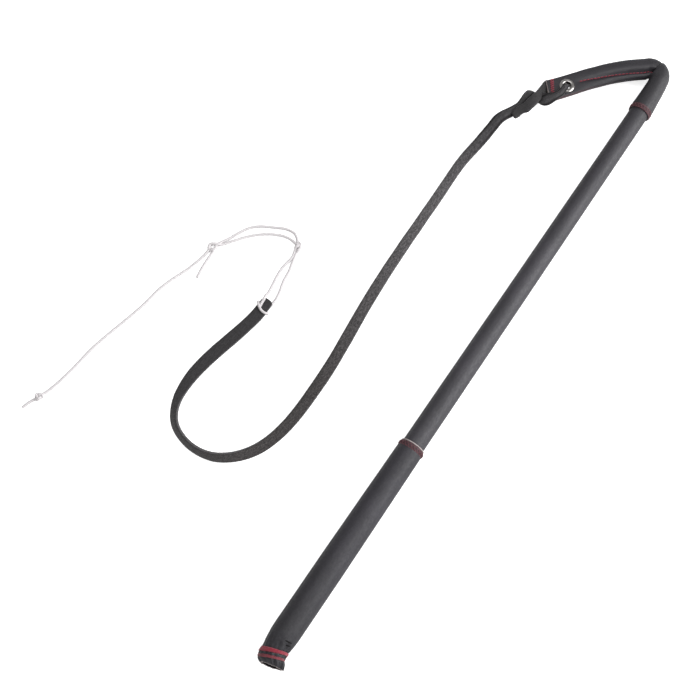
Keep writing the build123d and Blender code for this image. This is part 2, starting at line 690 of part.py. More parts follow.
def cord(name, points):
    """Round cord lying on the table along x, y points."""
    with BuildPart() as piece:
        with BuildLine() as path:
            Spline(*[(x, y, CORD_Z) for x, y in points])
        with BuildSketch(Plane(origin=path.line @ 0, z_dir=path.line % 0)):
            Circle(CORD_R)
        sweep()
    save(piece.part, name)


def knot(name, x, y, rise, radius):
    """Ball cut flat at the level of the strap's underside."""
    with BuildPart() as ball:
        with Locations((x, y, CORD_Z + rise)):
            Sphere(radius)
        split(bisect_by=Plane.XY.offset(STRAP_Z0), keep=Keep.TOP)
    save(ball.part, name)


for cord_name, cord_points in CORDS.items():
    cord(cord_name, cord_points)

for knot_row in KNOTS:
    knot(*knot_row)
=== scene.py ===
# A whip lying flat on a pale floor. The stock runs along +X from the butt of its grip
# (x = -62) to the keeper (x = 550 to 612), whose tongue folds back towards -X and +Y. The
# lash is hitched to the tongue's eyelet, runs back beside the stock, turns at x = 51 and ends
# at x = 201. The white cord cracker goes on to x = 270 and back to x = -2, y = 306.
# Lengths are millimetres in the part's frame, turned into metres as meshes are made.
import math

import bmesh
import bpy
import numpy as np
from mathutils import Matrix, Vector, noise
from mathutils.bvhtree import BVHTree

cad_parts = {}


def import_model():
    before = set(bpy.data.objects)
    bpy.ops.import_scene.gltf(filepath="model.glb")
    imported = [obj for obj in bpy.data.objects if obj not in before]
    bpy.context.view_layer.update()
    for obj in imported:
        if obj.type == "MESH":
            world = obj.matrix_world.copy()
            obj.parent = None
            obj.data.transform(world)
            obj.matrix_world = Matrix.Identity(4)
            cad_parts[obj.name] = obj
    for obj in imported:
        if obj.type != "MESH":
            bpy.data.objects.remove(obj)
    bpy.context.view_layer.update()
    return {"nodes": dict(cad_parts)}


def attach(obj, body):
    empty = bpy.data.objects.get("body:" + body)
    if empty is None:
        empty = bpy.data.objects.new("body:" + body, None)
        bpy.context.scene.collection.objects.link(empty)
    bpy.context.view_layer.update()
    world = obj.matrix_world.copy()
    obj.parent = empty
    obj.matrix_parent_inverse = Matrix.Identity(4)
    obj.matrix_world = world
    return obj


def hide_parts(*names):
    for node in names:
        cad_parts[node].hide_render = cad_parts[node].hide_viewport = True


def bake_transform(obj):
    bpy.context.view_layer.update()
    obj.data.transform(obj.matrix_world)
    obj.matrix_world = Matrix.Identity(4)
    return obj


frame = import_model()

MM = 0.001
TAU = math.tau
UP = np.array((0, 0, 1.0))
FLOOR_Z = -12.66


# ------------------------------------------------------------------ curves and frames
def unit(vector):
    vector = np.asarray(vector, float)
    return vector / np.linalg.norm(vector)


def unit_rows(rows):
    return rows / np.maximum(np.linalg.norm(rows, axis=1), 1e-12)[:, None]


def arc(points):
    """Running length at each point."""
    return np.concatenate([[0], np.cumsum(np.linalg.norm(np.diff(points, axis=0), axis=1))])


def curve(points, step):
    """Centripetal curve, evenly spaced; columns past the third are carried along."""
    points = np.asarray(points, float)
    padded = np.vstack([2 * points[0] - points[1], points, 2 * points[-1] - points[-2]])
    dense = []
    for i in range(1, len(padded) - 2):
        before, start, end, after = padded[i - 1:i + 3]
        gap_in, gap, gap_out = (
            max(np.linalg.norm((b - a)[:3]), 1e-5) ** 0.5
            for a, b in ((before, start), (start, end), (end, after)))
        leave = (end - start) + gap * ((start - before) / gap_in - (end - before) / (gap_in + gap))
        arrive = (end - start) + gap * ((after - end) / gap_out - (after - start) / (gap + gap_out))
        for t in np.linspace(0, 1, 32, endpoint=False):
            t2, t3 = t * t, t * t * t
            dense.append((2 * t3 - 3 * t2 + 1) * start + (t3 - 2 * t2 + t) * leave
                         + (-2 * t3 + 3 * t2) * end + (t3 - t2) * arrive)
    dense.append(points[-1])
    dense = np.array(dense)
    run = arc(dense[:, :3])
    even = np.linspace(0, run[-1], max(2, int(round(run[-1] / step)) + 1))
    return np.stack([np.interp(even, run, column) for column in dense.T], axis=1)


def tangents(points):
    return unit_rows(np.gradient(points, axis=0))


def carried_normals(tangent):
    """Normals carried along without twisting, starting as near to up as they can."""
    first = UP - (UP @ tangent[0]) * tangent[0]
    if np.linalg.norm(first) < 1e-3:
        aside = np.array([1.0, 0.2, 0])
        first = aside - (aside @ tangent[0]) * tangent[0]
    normal = np.zeros_like(tangent)
    normal[0] = unit(first)
    for i in range(1, len(tangent)):
        normal[i] = unit(normal[i - 1] - (normal[i - 1] @ tangent[i]) * tangent[i])
    return normal


def laid_surface(centres, tangent, normal, twist, radius, sides, ply, depth, size=1.0, unwind=0.0):
    """Rings and lay of a cord of `ply` strands; depth is the share the strands cut in."""
    angles, along = np.meshgrid(np.arange(sides) * TAU / sides, arc(centres))
    strands = np.abs(np.cos(ply * (angles - twist[:, None]) / 2))
    reach = (radius * (1 - depth + depth * 1.35 * strands) * size)[..., None]
    turned = angles - unwind
    binormal = np.cross(tangent, normal)
    rings = centres[:, None, :] + reach * (np.cos(turned)[..., None] * normal[:, None, :]
                                           + np.sin(turned)[..., None] * binormal[:, None, :])
    return rings, np.stack([along, angles, np.zeros_like(along)], axis=2)


def wobble(x, y, z, scale, seed):
    return noise.noise(Vector((x * scale + seed, y * scale - seed, z * scale + 2 * seed)))


def wobble_round(x, radius, angle, scale, seed):
    return wobble(x, radius * math.cos(angle), radius * math.sin(angle), scale, seed)


def polar(x, radius, angle):
    """A point round the stock's axis; angle 0 points along +Y, 90 degrees up."""
    return np.array((x, radius * math.cos(angle), radius * math.sin(angle)))


def round_ring(x, radius, angles):
    return [polar(x, radius, angle) for angle in angles]


# ------------------------------------------------------------------ meshes
def face_outward(mesh):
    bm = bmesh.new()
    bm.from_mesh(mesh)
    bmesh.ops.recalc_face_normals(bm, faces=bm.faces)
    bm.to_mesh(mesh)
    bm.free()


class Body:
    """Collects closed swept surfaces, made of (rings, sides, 3) arrays, into one mesh.

    The materials read "lay" at each point: the distance along the sweep, then the angle
    round it or the share across it, then the face (1 top, -1 bottom) or a cut rim's weight.
    """

    def __init__(self):
        self.points, self.faces, self.lay, self.slots, self.sharp_rings = [], [], [], [], []

    def _bands(self, rings, lay, band_slots, closed):
        count, sides, _ = rings.shape
        base = len(self.points)
        self.points.extend(rings.reshape(-1, 3).tolist())
        self.lay.extend(lay.reshape(-1, 3).tolist())
        for i in range(count if closed else count - 1):
            a, b = base + i * sides, base + (i + 1) % count * sides
            for j in range(sides):
                k = (j + 1) % sides
                self.faces.append((a + j, a + k, b + k, b + j))
            self.slots.extend([band_slots.get(i, 0)] * sides)
        return base

    def rings(self, rings, lay=None, band_slots={}, end_slot=0, sharp_caps=False):
        """A sweep closed by a fan at each end; band_slots gives material slots by band."""
        lay = np.zeros(rings.shape) if lay is None else lay
        count, sides, _ = rings.shape
        base = self._bands(rings, lay, band_slots, closed=False)
        for i, slot in ((0, 0), (count - 1, end_slot)):
            hub = len(self.points)
            self.points.append(rings[i].mean(axis=0).tolist())
            self.lay.append(lay[i].mean(axis=0).tolist())
            a = base + i * sides
            for j in range(sides):
                k = (j + 1) % sides
                self.faces.append((a + k, a + j, hub) if i == 0 else (a + j, a + k, hub))
            self.slots.extend([slot] * sides)
            if sharp_caps:
                self.sharp_rings.append((a, sides))

    def loop(self, rings, lay=None, band_slots={}):
        """A sweep whose last ring joins its first."""
        lay = np.zeros(rings.shape) if lay is None else lay
        self._bands(rings, lay, band_slots, closed=True)

    def tube(self, points, radius, sides, step, ply, pitch, depth):
        """A laid cord with domed ends."""
        centres = curve(points, step)
        start, end = unit(centres[1] - centres[0]), unit(centres[-1] - centres[-2])
        lead = [centres[0] - start * radius * k for k in (0.78, 0.62, 0.34)]
        trail = [centres[-1] + end * radius * k for k in (0.34, 0.62, 0.78)]
        centres = np.vstack([lead, centres, trail])
        size = np.ones((len(centres), 1))
        size[:3, 0] = (0.4, 0.72, 0.93)
        size[-3:, 0] = (0.93, 0.72, 0.4)
        tangent = tangents(centres)
        twist = TAU * arc(centres) / pitch
        self.rings(*laid_surface(centres, tangent, carried_normals(tangent), twist,
                                 radius, sides, ply, depth, size))

    def bare_mesh(self, name):
        mesh = bpy.data.meshes.new(name)
        mesh.from_pydata((np.array(self.points) * MM).tolist(), [], self.faces)
        mesh.update()
        return mesh

    def mesh(self, name, materials):
        mesh = self.bare_mesh(name)
        mesh.polygons.foreach_set("material_index", self.slots)
        lay = mesh.attributes.new("lay", "FLOAT_VECTOR", "POINT")
        lay.data.foreach_set("vector", np.array(self.lay, np.float32).ravel())
        if self.sharp_rings:
            ring_of = {i: number for number, (start, sides) in enumerate(self.sharp_rings)
                       for i in range(start, start + sides)}
            for edge in mesh.edges:
                a, b = edge.vertices
                if a in ring_of and ring_of.get(b) == ring_of[a]:
                    edge.use_edge_sharp = True
        for material in materials:
            mesh.materials.append(material)
        face_outward(mesh)
        return mesh

    def make(self, name, materials, moves, replaces, slot):
        return settle(name, self.mesh(name, materials), moves, replaces)


def link_object(name, data):
    thing = bpy.data.objects.new(name, data)
    bpy.context.scene.collection.objects.link(thing)
    return thing


def settle(name, mesh, moves, replaces):
    """Puts a mesh in the scene. `moves` is the body it rides; a tuple (body, body, start, end) is not
    used and leaves the mesh unattached.
    """
    mesh.polygons.foreach_set("use_smooth", [True] * len(mesh.polygons))
    rest = np.zeros(len(mesh.vertices) * 3, np.float32)
    mesh.vertices.foreach_get("co", rest)
    mesh.attributes.new("rest", "FLOAT_VECTOR", "POINT")
    mesh.attributes["rest"].data.foreach_set("vector", rest * 1000.0)
    mesh.update()
    part = link_object(name, mesh)
    if isinstance(moves, str):
        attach(part, moves)
    else:
        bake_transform(part)
    if replaces:
        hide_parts(*replaces)
    return part


def cut_through(mesh, outline, heights, name):
    """The mesh with an upright hole of the given outline cut through it."""
    raw = link_object(mesh.name, mesh)
    prism = Body()
    prism.rings(np.array([[(*point, z) for point in outline] for z in heights]))
    prism_mesh = prism.bare_mesh(name)
    face_outward(prism_mesh)
    cutter = link_object(name, prism_mesh)
    cut = raw.modifiers.new(name, "BOOLEAN")
    cut.operation = "DIFFERENCE"
    cut.solver = "EXACT"
    cut.object = cutter
    bpy.context.view_layer.update()
    graph = bpy.context.evaluated_depsgraph_get()
    done = bpy.data.meshes.new_from_object(raw.evaluated_get(graph))
    bpy.data.objects.remove(raw)
    bpy.data.objects.remove(cutter)
    return done


def surface_tree(part):
    mesh = part.data
    return BVHTree.FromPolygons([tuple(v.co * 1000.0) for v in mesh.vertices],
                                [tuple(face.vertices) for face in mesh.polygons])


# ------------------------------------------------------------------ shader building
def shade(colour, share):
    return tuple(channel * share for channel in colour)


class Nodes:
    """Builds the node tree of a material or world."""

    def __init__(self, owner):
        owner.use_nodes = True
        self.tree = owner.node_tree
        self.tree.nodes.clear()

    def add(self, kind, inputs={}, **settings):
        node = self.tree.nodes.new("ShaderNode" + kind)
        for key, value in settings.items():
            setattr(node, key, value)
        for key, value in inputs.items():
            self.put(node.inputs[key], value)
        return node

    def put(self, socket, value):
        if isinstance(value, bpy.types.NodeSocket):
            self.tree.links.new(value, socket)
        elif socket.type == "RGBA":
            socket.default_value = (*value, 1.0)
        else:
            socket.default_value = value

    def math(self, operation, a, b=0.0, clamp=False):
        node = self.add("Math", {0: a, 1: b}, operation=operation, use_clamp=clamp)
        return node.outputs[0]

    def plus(self, a, b):
        return self.math("ADD", a, b)

    def times(self, a, b, clamp=False):
        return self.math("MULTIPLY", a, b, clamp)

    def invert(self, value):
        return self.math("SUBTRACT", 1.0, value)

    def ramp(self, value, between, to=(0.0, 1.0)):
        return self.add("MapRange", {"Value": value, "From Min": between[0],
                                     "From Max": between[1], "To Min": to[0],
                                     "To Max": to[1]}).outputs[0]

    def is_camera_ray(self):
        return self.add("LightPath").outputs["Is Camera Ray"]


class Surface(Nodes):
    """A principled material. Its textures sit in millimetres, by the meshes' "rest"
    attribute or, for the CAD pieces, by object coordinates."""

    def __init__(self, name, by_rest=True):
        self.material = bpy.data.materials.new(name)
        super().__init__(self.material)
        if by_rest:
            self.place = self.attribute("rest")
        else:
            place = self.add("TexCoord").outputs["Object"]
            self.place = self.vector("SCALE", {0: place, "Scale": 1000.0})

    def attribute(self, name):
        return self.add("Attribute", attribute_name=name).outputs["Vector"]

    def vector(self, operation, inputs):
        return self.add("VectorMath", inputs, operation=operation).outputs[0]

    def split(self, vector):
        return self.add("SeparateXYZ", {0: vector}).outputs

    def stretch(self, vector, factors):
        return self.vector("MULTIPLY", {0: vector, 1: factors})

    def noise(self, scale, detail, rough, vector=None, output="Fac"):
        return self.add("TexNoise", {"Scale": scale, "Detail": detail, "Roughness": rough,
                                     "Vector": vector or self.place}).outputs[output]

    def warp(self, scale, amount):
        """Places pushed about by noise."""
        push = self.noise(scale, detail=2.0, rough=0.5, output="Color")
        push = self.vector("SUBTRACT", {0: push, 1: (0.5, 0.5, 0.5)})
        push = self.vector("SCALE", {0: push, "Scale": amount})
        return self.vector("ADD", {0: self.place, 1: push})

    def cell_edges(self, scale, vector):
        return self.add("TexVoronoi", {"Scale": scale, "Vector": vector},
                        feature="DISTANCE_TO_EDGE").outputs["Distance"]

    def wave(self, scale, vector=None, distortion=0.0, direction="X"):
        return self.add("TexWave", {"Scale": scale, "Distortion": distortion, "Detail": 2.0,
                                    "Vector": vector or self.place},
                        bands_direction=direction).outputs["Fac"]

    def mix(self, share, a, b):
        return self.add("Mix", {0: share, 6: a, 7: b}, data_type="RGBA").outputs[2]

    def bump(self, height, distance, strength, normal=None):
        inputs = {"Distance": distance * MM, "Strength": strength, "Height": height}
        if normal is not None:
            inputs["Normal"] = normal
        return self.add("Bump", inputs).outputs[0]

    def finish(self, colour, rough, normal, **more):
        inputs = {"Base Color": colour, "Roughness": rough, "Normal": normal}
        inputs.update({key.replace("_", " "): value for key, value in more.items()})
        shader = self.add("BsdfPrincipled", inputs)
        self.add("OutputMaterial", {"Surface": shader.outputs["BSDF"]})
        return self.material


# ------------------------------------------------------------------ materials
def leather(name, dark, light, worn, cell=0.75, rough=0.44, grain=0.09,
            edge=None, stain=None, painted_end_shade=None):
    """Grained leather; cell is the grain's size and grain its depth.

    edge tints the cut rims, stain is (x start, x end, tint) and the last argument darkens along x, a
    painted shade towards one end.
    """
    mat = Surface(name)
    cells = mat.cell_edges(1.0 / cell, mat.warp(scale=0.9, amount=0.55))
    crease = mat.ramp(cells, (0.0, 0.22))
    pores = mat.noise(scale=3.2, detail=4.0, rough=0.6)
    clouds = mat.noise(scale=0.035, detail=3.0, rough=0.6)
    patches = mat.noise(scale=0.35, detail=4.0, rough=0.6)
    colour = mat.mix(mat.ramp(clouds, (0.35, 0.68)), dark, light)
    colour = mat.mix(mat.ramp(patches, (0.56, 0.80), to=(0.0, 0.55)), colour, worn)
    # painted shade: the grain's creases darkened
    colour = mat.mix(mat.times(mat.invert(crease), 0.45), colour, shade(dark, 0.35))
    if edge is not None:
        _, across, rim_weight = mat.split(mat.attribute("lay"))
        rim = mat.ramp(mat.math("ABSOLUTE", across), (0.90, 0.99))
        colour = mat.mix(mat.times(rim, rim_weight, clamp=True), colour, edge)
    if stain is not None:
        # dye bled from the hem thread
        start, end, tint = stain
        x, y, _ = mat.split(mat.place)
        inside = mat.times(mat.ramp(x, (start - 0.5, start + 0.5)),
                           mat.ramp(x, (end - 0.3, end + 0.3), to=(1.0, 0.0)))
        on_stock = mat.ramp(y, (12.5, 13.5), to=(1.0, 0.0))
        uneven = mat.ramp(patches, (0.3, 0.7), to=(0.5, 1.0))
        colour = mat.mix(mat.times(mat.times(inside, on_stock), uneven), colour, tint)
    if painted_end_shade is not None:
        # painted shade, darker towards one end
        x = mat.split(mat.place)[0]
        colour = mat.mix(mat.ramp(x, **painted_end_shade), colour, shade(dark, 0.2))
    roughness = mat.plus(mat.ramp(patches, (0.3, 0.7), to=(rough - 0.08, rough + 0.10)),
                         mat.times(mat.invert(crease), 0.12))
    height = mat.plus(mat.times(crease, 0.75), mat.times(pores, 0.5))
    normal = mat.bump(height, distance=grain, strength=0.55)
    normal = mat.bump(mat.noise(scale=0.55, detail=4.0, rough=0.65), 0.42, 0.70, normal)
    normal = mat.bump(mat.noise(scale=0.10, detail=2.0, rough=0.5), 0.6, 0.30, normal)
    return mat.finish(colour, roughness, normal, Coat_Weight=0.06, Coat_Roughness=0.45)


def suede(name):
    """Strap leather, napped side up: paler near the head, flat and dark beyond the bend."""
    mat = Surface(name)
    lay = mat.attribute("lay")
    along, across, face = mat.split(lay)
    nap = mat.noise(scale=0.85, detail=6.0, rough=0.78)
    fine = mat.noise(scale=2.6, detail=4.0, rough=0.7)
    fibres = mat.noise(scale=1.0, detail=4.0, rough=0.7,
                       vector=mat.stretch(lay, (0.30, 4.0, 1.0)))
    ribs = mat.wave(0.55, mat.stretch(lay, (1.0, 1.6, 0.0)), distortion=3.5,
                    direction="DIAGONAL")
    flecks = mat.ramp(mat.noise(scale=1.15, detail=6.0, rough=0.85), (0.56, 0.66))

    def napped(low, high, between=(0.38, 0.62)):
        return mat.mix(mat.ramp(nap, between), low, high)

    # ground colour along the lash
    away = mat.ramp(along, (30.0, 330.0))
    flat = mat.ramp(along, (425.0, 500.0))
    pale = napped((0.030, 0.0285, 0.0310), (0.250, 0.240, 0.252))
    brown = napped((0.008, 0.007, 0.007), (0.086, 0.077, 0.077))
    ground = mat.mix(away, pale, brown)
    ground = mat.mix(mat.times(flecks, 0.65), ground, (0.185, 0.165, 0.160))
    head = mat.ramp(along, (16.0, 120.0), to=(0.80, 0.0))
    ground = mat.mix(head, ground, (0.0130, 0.0118, 0.0138))
    dark = napped((0.016, 0.0155, 0.017), (0.046, 0.044, 0.047), between=(0.34, 0.70))
    dark = mat.mix(mat.times(flecks, 0.25), dark, (0.09, 0.078, 0.078))
    colour = mat.mix(flat, ground, dark)
    colour = mat.mix(mat.ramp(fibres, (0.40, 0.54), to=(0.60, 0.0)), colour,
                     (0.011, 0.010, 0.0105))
    colour = mat.mix(mat.times(ribs, 0.28), colour, (0.016, 0.014, 0.015))

    # underside, painted shade on the upper rims, side walls and painted shade in the hollows
    under = mat.ramp(face, (-0.4, 0.2), to=(0.6, 0.0))
    colour = mat.mix(under, colour, (0.020, 0.019, 0.020))
    # painted shade along the strands' upper edges, mostly in the braided head
    rim = mat.times(mat.ramp(mat.math("ABSOLUTE", across), (0.40, 0.78), to=(0.0, 0.88)),
                    mat.ramp(along, (26.0, 60.0), to=(1.0, 0.12)))
    top = mat.ramp(face, (0.55, 0.95))
    colour = mat.mix(mat.times(rim, top), colour, (0.0065, 0.006, 0.0065))
    wall = mat.times(mat.ramp(mat.math("ABSOLUTE", face), (0.45, 0.85), to=(1.0, 0.0)),
                     mat.ramp(along, (20.0, 60.0), to=(0.0, 0.75)))
    colour = mat.mix(wall, colour, napped((0.050, 0.047, 0.050), (0.130, 0.124, 0.128)))
    # painted shade: crevices between the strands darkened by ambient occlusion, mostly in the head
    hollow = mat.add("AmbientOcclusion", {"Distance": 0.0045}, samples=3, only_local=True)
    crevice_shade = mat.times(mat.ramp(hollow.outputs["AO"], (0.25, 0.85), to=(0.95, 0.0)),
                       mat.ramp(along, (30.0, 70.0), to=(1.0, 0.4)))
    colour = mat.mix(crevice_shade, colour, (0.0022, 0.0020, 0.0022))

    texture = mat.plus(mat.times(fibres, 0.8), mat.times(fine, 0.4))
    texture = mat.plus(mat.times(ribs, 0.5), texture)
    height = mat.plus(mat.times(nap, 1.2), texture)
    polish = mat.ramp(along, (8.0, 45.0), to=(0.34, 0.0))
    roughness = mat.math("SUBTRACT", mat.ramp(nap, (0.3, 0.7), to=(0.70, 0.92)), polish)
    # painted shade also lowers the specular in the crevices and on the rims
    shade_dimmed_spec = mat.math("MAXIMUM", mat.times(crevice_shade, 0.95), mat.times(mat.times(rim, top), 0.8))
    return mat.finish(colour, roughness, mat.bump(height, distance=0.42, strength=0.85),
                      Specular_IOR_Level=mat.times(mat.invert(shade_dimmed_spec), 0.38),
                      Sheen_Weight=mat.ramp(along, (16.0, 100.0), to=(0.02, 0.20)),
                      Sheen_Roughness=0.45)


def thread(name, base, deep, sheen=0.25, rough=0.55, spec=0.4):
    mat = Surface(name)
    hair = mat.noise(scale=5.0, detail=4.0, rough=0.7)
    clouds = mat.noise(scale=0.25, detail=2.0, rough=0.5)
    twist = mat.wave(1.35, mat.stretch(mat.attribute("lay"), (1.6, 0.45, 0.0)),
                     distortion=0.4, direction="DIAGONAL")
    colour = mat.mix(mat.ramp(hair, (0.3, 0.75)), deep, base)
    colour = mat.mix(mat.ramp(clouds, (0.35, 0.7), to=(0.35, 0.0)), colour, deep)
    colour = mat.mix(mat.times(twist, 0.3), colour, deep)
    height = mat.plus(mat.times(twist, 0.8), mat.times(hair, 0.6))
    roughness = mat.ramp(hair, (0.3, 0.7), to=(rough - 0.1, rough + 0.15))
    return mat.finish(colour, roughness, mat.bump(height, distance=0.12, strength=0.6),
                      Sheen_Weight=sheen, Specular_IOR_Level=spec)


def metal(name, by_rest=True):
    base = (0.40, 0.385, 0.375)
    mat = Surface(name, by_rest)
    scratch = mat.noise(scale=1.0, detail=3.0, rough=0.7,
                        vector=mat.stretch(mat.place, (0.8, 9.0, 3.0)))
    smut = mat.noise(scale=0.35, detail=3.0, rough=0.6)
    colour = mat.mix(mat.ramp(smut, (0.45, 0.75), to=(0.0, 0.6)), base, shade(base, 0.55))
    roughness = mat.plus(mat.ramp(scratch, (0.35, 0.75), to=(0.10, 0.26)),
                         mat.ramp(smut, (0.45, 0.8), to=(0.0, 0.12)))
    return mat.finish(colour, roughness, mat.bump(scratch, distance=0.02, strength=0.5),
                      Metallic=1.0)


def cut_fibres(name, light, dark):
    """The raw edge of cut leather."""
    mat = Surface(name)
    fibres = mat.noise(scale=2.2, detail=5.0, rough=0.75)
    layers = mat.wave(0.9, distortion=3.0, direction="Z")
    colour = mat.mix(mat.ramp(fibres, (0.38, 0.62)), dark, light)
    colour = mat.mix(mat.times(layers, 0.2), colour, dark)
    return mat.finish(colour, mat.ramp(fibres, (0.3, 0.7), to=(0.75, 0.95)),
                      mat.bump(fibres, distance=0.15, strength=0.7))


def banded(name, base, light, scale, stretch, rough=0.8, bump=0.2):
    """A banded fibrous look for the CAD pieces."""
    mat = Surface(name, by_rest=False)
    bands = mat.wave(scale, mat.stretch(mat.place, stretch), distortion=1.2)
    fibres = mat.noise(scale=1.1, detail=4.0, rough=0.7)
    colour = mat.mix(mat.ramp(fibres, (0.35, 0.65)), base, light)
    colour = mat.mix(mat.times(bands, 0.45), colour, shade(base, 0.5))
    return mat.finish(colour, mat.ramp(fibres, (0.3, 0.7), to=(rough - 0.1, rough + 0.08)),
                      mat.bump(mat.plus(bands, fibres), distance=bump, strength=0.5))


GRIP_LEATHER = leather(
    "grip_leather", dark=(0.0124, 0.0112, 0.0168), light=(0.0192, 0.0170, 0.0256),
    worn=(0.031, 0.0282, 0.0400), rough=0.52, stain=(152.7, 157.0, (0.046, 0.016, 0.021)),
    # painted shade, darker towards the butt
    painted_end_shade=dict(between=(-30.0, 110.0), to=(0.36, 0.0)))
SHAFT_LEATHER = leather(
    "shaft_leather", dark=(0.0205, 0.0190, 0.0248), light=(0.0305, 0.0278, 0.0362),
    worn=(0.045, 0.041, 0.052), cell=0.65, grain=0.07, rough=0.49,
    # painted shade, darker towards the keeper end
    painted_end_shade=dict(between=(410.0, 560.0), to=(0.0, 0.30)))
KEEPER_LEATHER = leather(
    "keeper_leather", dark=(0.0112, 0.0100, 0.0138), light=(0.0170, 0.0150, 0.0206),
    worn=(0.027, 0.0235, 0.0305), cell=0.7, rough=0.47, edge=(0.052, 0.016, 0.021),
    stain=(551.0, 556.2, (0.050, 0.016, 0.021)))
STRAP = suede("lash_suede")
CUT_EDGE = cut_fibres("cut_edge", light=(0.52, 0.47, 0.46), dark=(0.20, 0.16, 0.16))
STRAP_EDGE = cut_fibres("strap_edge", light=(0.060, 0.054, 0.052), dark=(0.016, 0.015, 0.015))
RED = thread("red_thread", base=(0.47, 0.012, 0.045), deep=(0.15, 0.006, 0.018))
WORN_RED = thread("binding_thread_worn", base=(0.40, 0.030, 0.055), deep=(0.13, 0.012, 0.022))
FADED_RED = thread("faded_thread", base=(0.200, 0.050, 0.064), deep=(0.065, 0.016, 0.023),
                   sheen=0.12)
BLACK = thread("black_thread", base=(0.0055, 0.0052, 0.006), deep=(0.002, 0.002, 0.0025),
               sheen=0.0, spec=0.12)
WHITE = thread("white_cord", base=(0.665, 0.640, 0.650), deep=(0.600, 0.575, 0.585),
               sheen=0.04, rough=0.85, spec=0.15)
NICKEL = metal("nickel")

CAD_LOOKS = {
    "core_rod": banded("rod_composite", base=(0.055, 0.05, 0.045), light=(0.10, 0.095, 0.085),
                       scale=0.5, stretch=(1.0, 0.35, 0.35), rough=0.4, bump=0.05),
    "rod_wrap": banded("wrap_cord", base=(0.30, 0.26, 0.20), light=(0.42, 0.37, 0.29),
                       scale=0.62, stretch=(1.0, 0.12, 0.12), bump=0.35),
    "grip_padding": banded("felt", base=(0.16, 0.155, 0.15), light=(0.26, 0.25, 0.24),
                           scale=0.2, stretch=(0.4, 0.9, 0.9), rough=0.9, bump=0.3),
    "butt_plug": banded("turned_wood", base=(0.36, 0.22, 0.11), light=(0.50, 0.33, 0.18),
                        scale=0.35, stretch=(0.2, 1.0, 1.0), rough=0.55, bump=0.06),
    "tip_cap": metal("tip_cap_metal", by_rest=False),
}


def dress_cad_pieces():
    for name, material in CAD_LOOKS.items():
        mesh = frame["nodes"][name].data
        mesh.materials.clear()
        mesh.materials.append(material)
        mesh.polygons.foreach_set("material_index", [0] * len(mesh.polygons))


# ------------------------------------------------------------------ grip sleeve
# station, centre y, half width, half height, slope of the section plane
SLEEVE = np.array([
    (-62.2, -5.0, 9.4, 5.2, 0.24), (-60.8, -4.0, 10.0, 6.6, 0.29), (-59.0, -2.7, 10.5, 7.9, 0.36),
    (-57.0, -1.5, 10.4, 8.9, 0.42), (-54.3, -1.0, 10.6, 9.9, 0.39), (-51.6, -0.6, 10.2, 10.0, 0.364),
    (-48.0, -0.6, 10.7, 10.6, 0.30), (-45.0, -0.4, 11.2, 11.1, 0.20), (-41.5, -0.2, 11.9, 11.9, 0.08),
    (-37.0, 0.0, 12.42, 12.42, 0.0), (-32.0, 0.0, 12.6, 12.6, 0.0), (32.0, 0.0, 12.6, 12.6, 0.0),
    (72.0, 0.0, 12.35, 12.35, 0.0), (112.0, 0.0, 12.05, 12.05, 0.0), (149.6, 0.0, 11.78, 11.78, 0.0),
    (151.6, 0.0, 11.62, 11.62, 0.0), (153.0, 0.0, 11.48, 11.48, 0.0), (156.2, 0.0, 11.42, 11.42, 0.0),
    (156.9, 0.0, 11.2, 11.2, 0.0),
])
# strength of the pleats by station
GATHER = ((-62.2, -59.0, -57.0, -51.6, -47.5, -43.5, -39.5, -36.0),
          (1.05, 0.9, 0.8, 1.0, 1.0, 0.6, 0.22, 0.0))
# x and radius of the sleeve's inside
SLEEVE_LINING = (
    (-45.0, 9.25), (-41.5, 10.25), (-38.0, 10.82), (-36.0, 10.9), (-10, 10.9), (32.0, 10.9),
    (75, 10.65), (118.0, 10.4), (140.0, 10.28), (156.2, 10.24), (156.8, 10.3))
PLEAT_COUNT = 14
_draw = np.random.RandomState(11).uniform
# angle, width, depth, twist per millimetre
PLEATS = [((i + _draw(-0.24, 0.24)) * TAU / PLEAT_COUNT, _draw(0.09, 0.16), _draw(0.5, 1.15),
           _draw(-0.012, 0.012)) for i in range(PLEAT_COUNT)]
UPPER_BINDING_X, LOWER_BINDING_X = -51.6, -57.0
# extra ring points close to the seam, which runs along the underside
SEAM_ANGLES = [math.radians(270 + d) for d in
               (-9, -6.5, -4.6, -3.4, -2.2, -1.1, 0, 1.1, 2.2, 3.4, 4.6, 6.5, 9)]


def ring_angles(count, extra=()):
    angles = [TAU * i / count for i in range(count)] + list(extra)
    return np.array(sorted(set(round(x % TAU, 5) for x in angles)))


def seam_shape(angle, lip):
    """Height of the seam's groove and of the lips on both sides of it."""
    off = math.degrees((angle - math.radians(270) + math.pi) % TAU - math.pi)
    return -0.6 * math.exp(-(off / 2.6) ** 2) + lip * math.exp(-((abs(off) - 6.2) / 2.2) ** 2)


